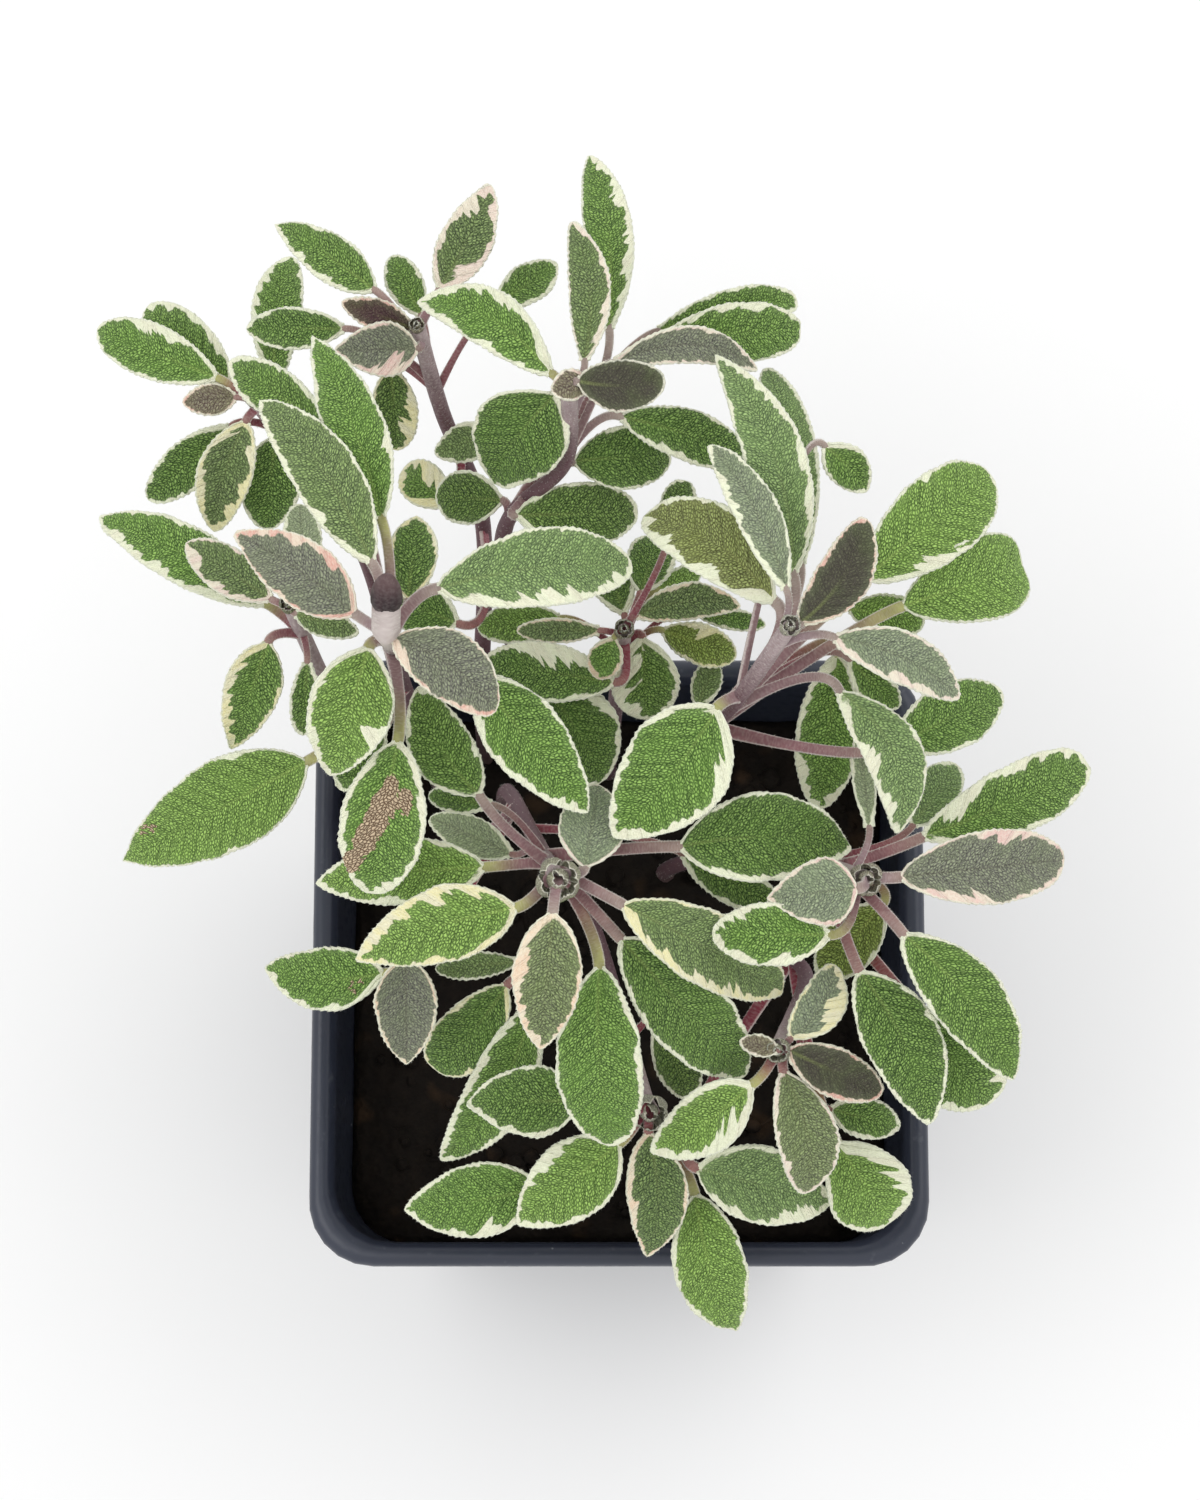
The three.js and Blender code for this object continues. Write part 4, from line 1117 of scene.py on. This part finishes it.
def square_ring(side, corner, across):
    """A point on a square with round corners, at a share of the way round"""
    inner = side / 2 - corner
    straight = 2 * inner
    arc = math.pi / 2 * corner
    quarter, rest = divmod(across * 4, 1)
    walked = rest * (straight + arc)
    if walked < straight:
        x, y = side / 2, -inner + walked
    else:
        angle = (walked - straight) / corner
        x, y = inner + corner * math.cos(angle), inner + corner * math.sin(angle)
    for _ in range(int(quarter) % 4):
        x, y = -y, x
    return x, y


def wall_side(z):
    """Side of the square that the pot's outer wall makes at height z"""
    under_lip = RIM_SIDE - 2 * (LIP_STEP + LIP_TAPER)
    return BASE_SIDE + (under_lip - BASE_SIDE) * z / (RIM_HEIGHT - LIP_DEPTH)


def corner_at(side):
    """Corner radius of a square of this side, between the foot's and the rim's"""
    return BASE_CORNER + (side - BASE_SIDE) / (RIM_SIDE - BASE_SIDE) * (RIM_CORNER - BASE_CORNER)


def arc_points(side, z, radius, start, end, steps):
    """Profile points on an arc about (side, z), from one angle to another in degrees"""
    points = []
    for step in range(steps + 1):
        angle = math.radians(start + (end - start) * step / steps)
        points.append((side + 2 * radius * math.cos(angle), z + radius * math.sin(angle)))
    return points


def pot_profile():
    """Side and height from the middle of the foot, up the outside, over the rim and down inside"""
    under = RIM_HEIGHT - LIP_DEPTH
    wall_outer = wall_side(under)
    lip_bottom = RIM_SIDE - 2 * LIP_TAPER
    inner = RIM_SIDE - 2 * RIM_BAND
    profile = arc_points(BASE_SIDE - 2 * BASE_ROUND, BASE_ROUND, BASE_ROUND, -90, 0, 5)
    profile += [(wall_side(z), z) for z in (*WALL_RINGS, under - 1.2)]
    profile += [(wall_outer + 0.3, under - 0.25), (wall_outer + 1.2, under)]
    profile += arc_points(lip_bottom - 2 * LIP_ROUND, under + LIP_ROUND, LIP_ROUND, -90, 0, 4)
    profile += [(RIM_SIDE - 0.3, RIM_HEIGHT - 2.2 * RIM_ROLL)]
    profile += arc_points(RIM_SIDE - 2 * RIM_ROLL, RIM_HEIGHT - RIM_ROLL, RIM_ROLL, 0, 150, 12)
    profile += [(inner - 0.6, RIM_HEIGHT - 2.6), (inner - 1.4, RIM_HEIGHT - 5)]
    profile += [(wall_outer - 2 * WALL, under)]
    profile += [(wall_side(z) - 2 * WALL, z) for z in (*INNER_RINGS, FLOOR + 1.5)]
    profile += [(wall_side(FLOOR) - 2 * WALL - 2.5, FLOOR)]
    return profile


def make_pot(finish):
    """The pot: its profile carried round a square with round corners"""
    profile = pot_profile()
    bm = bmesh.new()
    rows = len(profile) - 1

    def place(vert, across, along):
        side, z = profile[round(along * rows)]
        x, y = square_ring(side, corner_at(side), across)
        return Vector((x, y, z))

    close_skin(bm, laid_grid(bm, ROUND_COLUMNS, rows, place))
    bmesh.ops.recalc_face_normals(bm, faces=bm.faces)
    pot = finish_mesh(bm, "nursery_pot", [finish], "pot")
    drill_drains(pot)
    return pot


def drain_plugs():
    """Eight upright plugs where the drain holes go: a square of nine without its middle"""
    bm = bmesh.new()
    for x in (-DRAIN_OUT, 0, DRAIN_OUT):
        for y in (-DRAIN_OUT, 0, DRAIN_OUT):
            if x or y:
                made = bmesh.ops.create_cone(
                    bm, segments=DRAIN_SIDES, radius1=DRAIN_RADIUS, radius2=DRAIN_RADIUS, depth=4 * FLOOR,
                    cap_ends=True)
                bmesh.ops.translate(bm, verts=made["verts"], vec=(x, y, FLOOR / 2))
    return add_object("drains", metre_mesh(bm, "drains"))


def drill_drains(pot):
    """Cuts the drain holes through the pot's floor"""
    plugs = drain_plugs()
    cut = pot.modifiers.new("drains", "BOOLEAN")
    cut.object = plugs
    cut.operation = "DIFFERENCE"
    cut.solver = "EXACT"
    shape = bpy.data.meshes.new_from_object(pot.evaluated_get(bpy.context.evaluated_depsgraph_get()))
    pot.modifiers.clear()
    pot.data = shape
    bpy.data.objects.remove(plugs)
    shape.set_sharp_from_angle(angle=math.radians(50))


# Soil

def soil_profile(edge_side):
    """Side, height and whether it is on top, from the foot up the wall and in to the middle of the top"""
    inset = 2 * (WALL + SOIL_GAP)
    floor_side = wall_side(FLOOR) - inset - SOIL_FOOT_INSET
    profile = [(floor_side, FLOOR + SOIL_GAP, False), (wall_side(SOIL_WAIST) - inset, SOIL_WAIST, False)]
    profile += [(edge_side, SOIL_TOP - SOIL_BEVEL, False)]
    profile += [(edge_side * (1 - 0.9999 * i / SOIL_RINGS), SOIL_TOP, True) for i in range(SOIL_RINGS + 1)]
    return profile


def make_soil(finish):
    """The soil with its lumpy dome, and clods and fibres on it"""
    draw = random.Random("soil")
    bm = bmesh.new()
    edge_side = wall_side(SOIL_TOP) - 2 * (WALL + SOIL_GAP)
    profile = soil_profile(edge_side)
    rows = len(profile) - 1

    def place(vert, across, along):
        side, z, on_top = profile[round(along * rows)]
        corner = min(corner_at(side), side / 2) if side > SOIL_CORE_SIDE else side * SOIL_CORE_CORNER
        x, y = square_ring(side, corner, across)
        if on_top:
            z += SOIL_DOME * (1 - side / edge_side)
            z += 1.5 * ripple(x / 9, y / 9, 1) + 1.1 * ripple(x / 3.2, y / 3.2, 5) + 0.5 * ripple(x, y, 9)
            z -= 1.5 * smooth(0.97, 1.0, side / edge_side)
        return Vector((x, y, z))

    close_skin(bm, laid_grid(bm, ROUND_COLUMNS, rows, place), 10 * SEAM_GAP)
    bmesh.ops.recalc_face_normals(bm, faces=bm.faces)
    for _ in range(CLODS):
        lay_clod(bm, edge_side, draw)
    for _ in range(FIBRES):
        lay_fibre(bm, edge_side, draw)
    return finish_mesh(bm, "potting_soil", [finish], "soil")


def soil_spot(edge_side, draw):
    """A random place on the soil and the height of its dome there"""
    x = draw.uniform(-SOIL_SPREAD, SOIL_SPREAD) * edge_side
    y = draw.uniform(-SOIL_SPREAD, SOIL_SPREAD) * edge_side
    return x, y, SOIL_TOP + SOIL_DOME * (1 - max(abs(x), abs(y)) * 2 / edge_side)


def lay_clod(bm, edge_side, draw):
    """A rough flattened lump on the soil"""
    x, y, height = soil_spot(edge_side, draw)
    size = draw.uniform(0.7, 2.4)
    made = bmesh.ops.create_icosphere(bm, subdivisions=2, radius=size)["verts"]
    lift = height + 0.2 * size
    seed = draw.uniform(0, 50)
    flat = draw.uniform(0.55, 0.9)
    for vert in made:
        vert.co *= 1 + 0.45 * ripple(vert.co.x / size * 1.3 + seed, vert.co.y / size * 1.3, vert.co.z / size)
        vert.co = Vector((vert.co.x + x, vert.co.y + y, vert.co.z * flat + lift))


def lay_fibre(bm, edge_side, draw):
    """A thin dry fibre lying on the soil"""
    x, y, height = soil_spot(edge_side, draw)
    turn = draw.uniform(0, 2 * math.pi)
    length = draw.uniform(4, 12)
    bend = draw.uniform(-0.25, 0.25)
    limit = 0.47 * edge_side
    points = []
    for i in range(9):
        share = i / 8 - 0.5
        ahead = length * share
        aside = bend * length * (share ** 2) * 4
        east = clamp(x + ahead * math.cos(turn) - aside * math.sin(turn), -limit, limit)
        north = clamp(y + ahead * math.sin(turn) + aside * math.cos(turn), -limit, limit)
        points.append(Vector((east, north, height + 1.2 - 1.6 * abs(share) + 0.3 * ripple(share * 4, x))))
    radius = draw.uniform(0.12, 0.3)
    frames = carried_frames(points, Vector((-math.sin(turn), math.cos(turn), 0)))

    def section(share, angle):
        thin = radius * (0.35 + 0.65 * math.sin(math.pi * clamp(share, 0.02, 0.98)))
        return thin * math.cos(angle), thin * math.sin(angle)

    tube(bm, points, frames, section, 5, lambda vert, across, share: None)


# Finishes

class Socket:
    """A shader value that can be used in a sum"""

    def __init__(self, finish, socket):
        self.finish = finish
        self.socket = socket

    def __add__(self, other):
        return self.finish.math("ADD", self, other)

    __radd__ = __add__

    def __sub__(self, other):
        return self.finish.math("SUBTRACT", self, other)

    def __rsub__(self, other):
        return self.finish.math("SUBTRACT", other, self)

    def __mul__(self, other):
        return self.finish.math("MULTIPLY", self, other)

    __rmul__ = __mul__

    def __truediv__(self, other):
        return self.finish.math("DIVIDE", self, other)

    def __abs__(self):
        return self.finish.math("ABSOLUTE", self)


class Finish:
    """A material built from nodes round one Principled shader"""

    def __init__(self, name, roughness, **constants):
        self.material = bpy.data.materials.new(name)
        self.material.use_nodes = True
        self.tree = self.material.node_tree
        self.shader = self.tree.nodes["Principled BSDF"]
        self.shader.inputs["Roughness"].default_value = roughness
        for label, value in constants.items():
            self.shader.inputs[label.replace("_", " ")].default_value = value

    def node(self, kind, settings=None, values=None, output=0):
        made = self.tree.nodes.new(kind)
        for label, value in (settings or {}).items():
            setattr(made, label, value)
        for label, value in (values or {}).items():
            self.feed(made.inputs[label], value)
        return Socket(self, made.outputs[output])

    def feed(self, target, value):
        if isinstance(value, Socket):
            self.tree.links.new(value.socket, target)
        else:
            target.default_value = value

    def set(self, label, value):
        self.feed(self.shader.inputs[label], value)

    def math(self, operation, *values):
        return self.node("ShaderNodeMath", {"operation": operation}, dict(enumerate(values)))

    def mix(self, share, first, second):
        """From the first colour to the second, each a socket or 0 to 255 values"""
        ends = [linear(end) if isinstance(end, tuple) else end for end in (first, second)]
        return self.node("ShaderNodeMix", {"data_type": "RGBA"}, {0: share, 6: ends[0], 7: ends[1]}, 2)

    def ease(self, value, start, end):
        """From 0 where the value is at start to 1 where it is at end, smoothly"""
        settings = {"interpolation_type": "SMOOTHSTEP"}
        values = {"Value": value, "From Min": start, "From Max": end}
        return self.node("ShaderNodeMapRange", settings, values)

    def attribute(self, name, output="Color"):
        return self.node("ShaderNodeAttribute", {"attribute_name": name}, output=output)

    def split(self, vector):
        made = self.tree.nodes.new("ShaderNodeSeparateXYZ")
        self.feed(made.inputs[0], vector)
        return [Socket(self, output) for output in made.outputs]

    def point(self, x, y, z=0.0):
        return self.node("ShaderNodeCombineXYZ", None, {0: x, 1: y, 2: z})

    def clouds(self, vector, scale, detail=2.0):
        """Smooth noise from 0 to 1"""
        return self.node("ShaderNodeTexNoise", None, {"Vector": vector, "Scale": scale, "Detail": detail})

    def cells(self, vector, scale, feature="DISTANCE_TO_EDGE", output="Distance"):
        settings = {"feature": feature, "voronoi_dimensions": "2D"}
        return self.node("ShaderNodeTexVoronoi", settings, {"Vector": vector, "Scale": scale}, output)

    def spots(self, vector, scale):
        """The distance to the nearest of many scattered points"""
        values = {"Vector": vector, "Scale": scale}
        return self.node("ShaderNodeTexVoronoi", {"feature": "F1"}, values, "Distance")

    def bump(self, height, distance, strength=1.0):
        values = {"Height": height, "Distance": distance, "Strength": strength}
        self.set("Normal", self.node("ShaderNodeBump", None, values))

    def object_place(self):
        return self.node("ShaderNodeTexCoord", output="Object")


def leaf_spot(finish):
    """What every leaf finish starts from: where on the blade a point lies, and its margin and scar"""
    x, s, edge = finish.split(finish.attribute("place", "Vector"))
    margin, scar, seed = finish.split(finish.attribute("marks", "Vector"))
    slanted = s - abs(x) * VEIN_SLANT
    spread = finish.point(x + seed * 7.3, s - abs(x) * 0.5 + seed * 3.1)
    return Spot(x, edge, margin, scar, seed, spread, slanted)


def vein_lines(finish, spot):
    """1 on the side veins, 0 between them"""
    pitch = finish.attribute("veins", "Fac")
    turns = spot.slanted / pitch
    away = abs(turns - finish.math("ROUND", turns)) * pitch
    return finish.ease(away, 0.42, 0.02) * finish.ease(abs(spot.x), 0.1, 0.8)


def leaf_body(finish, spot, cell, veins, grain):
    """The blade inside its margin: netted green, a smooth dusky one, or felted grey where it is woolly. The
    net has painted shade in its grooves and side veins, and painted highlights on its raised cells and
    speckles
    """
    tint = finish.attribute("tint")
    wool = finish.attribute("tint", "Alpha")
    near_base = finish.attribute("rim", "Alpha")
    # speckles of painted highlight: glints on the tips of the hairs
    hair_glint_speckle = finish.ease(grain, 0.36, 0.64)
    midrib = finish.ease(abs(spot.x), 0.5, 0.1)
    blotch = finish.ease(finish.clouds(spot.spread, 0.16), 0.42, 0.68)
    smoothness = finish.ease(wool, 0.05, 0.01)
    # groove: the net's own dark green, deepened by painted shade in its grooves; raised: its paler green,
    # with painted highlight on the cell tops
    groove = finish.mix(0.85, tint, (2, 40, 0))
    raised = finish.mix(0.5, tint, (198, 236, 128))
    smooth_skin = finish.mix(grain * 0.4, tint, (120, 104, 100))
    # the felt is lighter on raised cells and speckles and darker between them: partly the wool's own colour,
    # partly painted highlight and shade
    felt = finish.mix(hair_glint_speckle * 0.6 + cell * 0.4, finish.mix(0.5, tint, (54, 60, 44)),
                      finish.mix(0.4, tint, (200, 198, 188)))
    body = finish.mix(cell * 0.72 + hair_glint_speckle * 0.28, groove, raised)
    # the side veins take the grooves' painted shade
    body = finish.mix(veins * 0.45, body, groove)
    body = finish.mix(smoothness * 0.9, body, smooth_skin)
    body = finish.mix(wool * 0.7, body, felt)
    body = finish.mix(blotch * 0.22, body, finish.mix(0.4, tint, (140, 180, 76)))
    pale_rib = finish.mix(0.5, tint, (190, 206, 120))
    body = finish.mix(midrib * near_base * (1 - wool) * 0.5, body, pale_rib)
    return finish.mix(midrib * wool * 0.25, body, (84, 76, 72))


def pale_margin(finish, spot, body, grain):
    """The body with its pale margin, which reaches inwards in flames, and where the margin is"""
    hand = finish.math("SIGN", spot.x) * 3.7

    def along_edge(stretch, shift, drift=0.0):
        place = finish.point(spot.slanted * stretch + spot.seed * shift, hand + drift)
        return finish.clouds(place, 1.0, 1.0)

    flame = finish.ease(along_edge(0.4, 1.7), 0.32, 0.68)
    streak = along_edge(1.1, 0.7, spot.edge * 0.12)
    blush = finish.ease(along_edge(0.3, 2.1), 0.4, 0.62)
    deep = finish.ease(spot.margin, 1.0, 3.0)
    reach = spot.margin * (0.55 + flame * 0.8) + (streak - 0.5) * (0.5 + deep * 3.0) + (grain - 0.5) * 0.35
    pale = finish.ease(reach - spot.edge, -0.12, 0.16)
    halo = finish.ease(reach - spot.edge, -1.6, 0.0) * 0.25
    body = finish.mix(halo, body, finish.mix(0.5, finish.attribute("tint"), (170, 186, 136)))
    colour = finish.mix(blush * 0.6, finish.attribute("rim"), (234, 230, 204))
    colour = finish.mix(finish.ease(grain, 0.3, 0.7) * 0.3, colour, (250, 250, 234))
    colour = finish.mix(pale, body, colour)
    return finish.mix(finish.ease(spot.edge, 0.34, 0.08) * 0.7, colour, (238, 241, 220)), pale


def dry_marks(finish, spot, colour, net, wander):
    """The colour with its dry brown marks, which take whole cells of the net"""
    dry = finish.mix(finish.ease(finish.cells(net, NET_SCALE), 0.02, 0.2), (92, 66, 44), (212, 190, 160))
    flip, _, _ = finish.split(finish.cells(net, NET_SCALE, "F1", "Color"))
    patchy = spot.scar + (wander - 0.5) * 0.8 + (flip - 0.5) * 0.55
    return finish.mix(finish.ease(patchy, 0.46, 0.54), colour, dry)


def leaf_top_finish():
    """Upper face of a blade: netted body with painted shade in its grooves and painted highlights on its
    raised cells, pale margin and dry marks
    """
    finish = Finish("leaf_top", 0.62, Specular_IOR_Level=0.22, Sheen_Weight=0.03, Sheen_Roughness=0.4)
    spot = leaf_spot(finish)
    grain = finish.clouds(spot.spread, 2.4)
    wander = finish.clouds(spot.spread, 0.9)
    net_x, net_y, _ = finish.split(spot.spread)
    net = finish.point(net_x + wander * 0.8, net_y * 1.15 + wander * 0.6)
    cell = finish.ease(finish.cells(net, NET_SCALE), 0.02, 0.3)
    veins = vein_lines(finish, spot)
    body = leaf_body(finish, spot, cell, veins, grain)
    colour, pale = pale_margin(finish, spot, body, grain)
    finish.set("Base Color", dry_marks(finish, spot, colour, net, wander))
    wool = finish.attribute("tint", "Alpha")
    relief = cell * (1 - wool * 0.5) * (1 - pale * 0.6) + grain * 0.4 - veins * 0.7
    finish.bump(relief, 0.0003, 0.9)
    return finish.material


def leaf_under_finish():
    """Lower face of a blade: paler and greyer, with raised veins"""
    finish = Finish("leaf_under", 0.7, Specular_IOR_Level=0.2, Sheen_Weight=0.06, Sheen_Roughness=0.5)
    spot = leaf_spot(finish)
    tint = finish.attribute("tint")
    net = finish.ease(finish.cells(spot.spread, 1.1), 0.14, 0.02)
    veins = vein_lines(finish, spot)
    grain = finish.clouds(spot.spread, 3.0, 3.0)
    base = finish.mix(0.55, tint, (176, 188, 158))
    body = finish.mix(net * 0.6 + veins * 0.4, base, (200, 206, 180))
    body = finish.mix(grain * 0.3, body, (210, 214, 198))
    pale = finish.ease(spot.margin * 0.8 - spot.edge, -0.2, 0.2)
    finish.set("Base Color", finish.mix(pale * 0.8, body, (234, 236, 210)))
    finish.bump(net + veins + grain * 0.4, 0.00025, 0.7)
    return finish.material


def stalk_finish():
    """Skin of stems and stalks: streaked along, paler where it is woolly and on a stalk's flanks, which the
    camera sees edge-on; there the paleness is partly the hairs' own colour and partly painted sheen
    """
    finish = Finish("stalk_skin", 0.58, Specular_IOR_Level=0.25, Sheen_Weight=0.05, Sheen_Roughness=0.4)
    around, along, flank = finish.split(finish.attribute("place", "Vector"))
    _, _, seed = finish.split(finish.attribute("marks", "Vector"))
    tint = finish.attribute("tint")
    wool = finish.attribute("tint", "Alpha")
    streaks = finish.clouds(finish.point(around * 1.5 + seed, along * 0.15), 1.0, 1.0)
    fuzz = finish.clouds(finish.point(around * 2.0 + seed, along * 1.2), 1.8, 3.0)
    darker = finish.mix(0.3, tint, (70, 42, 48))
    pale = (214, 206, 200)
    body = finish.mix(finish.ease(streaks, 0.3, 0.7), darker, tint)
    # paler flanks: the hairs' own pale colour with painted sheen where the camera sees them edge-on
    body = finish.mix(finish.ease(flank + (fuzz - 0.5) * 0.3, 0.72, 1.0) * 0.7, body, pale)
    finish.set("Base Color", finish.mix(finish.ease(fuzz, 0.35, 0.75) * wool * 0.6, body, pale))
    finish.bump(streaks * 0.5 + fuzz * 0.3, 0.0001, 0.5)
    return finish.material


def down_finish():
    finish = Finish("down_hairs", 0.5, Specular_IOR_Level=0.3)
    mottle = finish.clouds(finish.object_place(), 160.0)
    finish.set("Base Color", finish.mix(mottle, (224, 226, 208), (250, 250, 242)))
    return finish.material


def pot_finish():
    """Black moulded plastic with faint clouding, dust and light specks"""
    finish = Finish("moulded_black", 0.3, Specular_IOR_Level=0.5)
    place = finish.object_place()
    cloud = finish.clouds(place, 45.0, 3.0)
    dust = finish.clouds(place, 420.0)
    plastic = finish.mix(cloud, (40, 44, 56), (54, 59, 74))
    dusty = finish.mix(finish.ease(dust, 0.62, 0.8) * 0.2, plastic, (120, 122, 126))
    speck = finish.ease(finish.spots(place, 260.0), 0.09, 0.05) * finish.ease(dust, 0.5, 0.62)
    finish.set("Base Color", finish.mix(speck * 0.6, dusty, (190, 192, 196)))
    finish.set("Roughness", 0.24 + cloud * 0.2 + finish.ease(dust, 0.5, 0.8) * 0.2)
    scuffs = finish.clouds(place, 900.0, 3.0)
    finish.bump(scuffs + cloud * 2.0, 0.00006, 0.6)
    return finish.material


def soil_finish():
    """Dark moist potting mix with lighter crumbs, darker in the low parts of its lumps. Its dark colour is
    partly painted shade from the plant above it
    """
    finish = Finish("potting_mix", 0.9, Specular_IOR_Level=0.2)
    place = finish.object_place()
    lumps = finish.clouds(place, 320.0, 5.0)
    patches = finish.clouds(place, 90.0)
    # the mix's own near-black brown, painted darker still as the plant's shade, and darkest where the lumps
    # sink
    dark = finish.mix(lumps, (9, 8, 8), (34, 27, 21))
    finish.set("Base Color", finish.mix(finish.ease(patches, 0.58, 0.74) * 0.5, dark, (70, 52, 36)))
    finish.bump(lumps + finish.spots(place, 700.0) * 0.5, 0.0008, 0.9)
    return finish.material


def floor_finish():
    finish = Finish("studio_floor", 0.9, Specular_IOR_Level=0.1)
    mottle = finish.clouds(finish.object_place(), 3.0)
    finish.set("Base Color", finish.mix(mottle, (248, 248, 248), (251, 251, 251)))
    return finish.material


# Studio

def make_floor():
    bm = bmesh.new()
    bmesh.ops.create_grid(bm, x_segments=1, y_segments=1, size=3)
    mesh = bpy.data.meshes.new("floor")
    bm.to_mesh(mesh)
    bm.free()
    mesh.materials.append(floor_finish())
    add_object("floor", mesh)


def make_light(name, place, size, power):
    """A round soft light turned to the plant"""
    lamp = bpy.data.lights.new(name, "AREA")
    lamp.shape = "DISK"
    lamp.size = size
    lamp.energy = power
    light = add_object(name, lamp)
    light.location = place
    light.rotation_euler = (Vector(LIT_POINT) - Vector(place)).to_track_quat("-Z", "Y").to_euler()


def light_studio():
    scene = bpy.context.scene
    scene.view_settings.view_transform = "Standard"
    scene.view_settings.look = "None"
    world = bpy.data.worlds.new("studio")
    world.use_nodes = True
    backdrop = world.node_tree.nodes["Background"].inputs
    backdrop["Color"].default_value = (1, 1, 1, 1)
    backdrop["Strength"].default_value = WORLD_LIGHT
    scene.world = world
    make_light("key", (-0.6, -0.1, 1.3), 0.8, 3.0)
    make_light("fill", (0.7, 0.4, 1.2), 1.0, 2.2)


def make_camera():
    camera = bpy.data.cameras.new("photo_view")
    camera.sensor_fit = "AUTO"
    camera.sensor_width = SENSOR_WIDTH
    camera.lens = FOCAL_LENGTH
    camera.clip_start = 0.01
    view = add_object("photo_view", camera)
    view.location = EYE * MM
    view.rotation_euler = (TILT, 0, 0)
    bpy.context.scene.camera = view


make_camera()
light_studio()
make_floor()
make_pot(pot_finish())
make_soil(soil_finish())
leaf_finishes = [leaf_top_finish(), leaf_under_finish()]
skin = stalk_finish()
down = down_finish()
for name in STEMS:
    fringe = []
    hairs = []
    make_blades(name, leaf_finishes, fringe)
    make_stalks(name, skin, hairs)
    make_down(name, hair_list(fringe, hairs, random.Random(f"down {name}")), down)
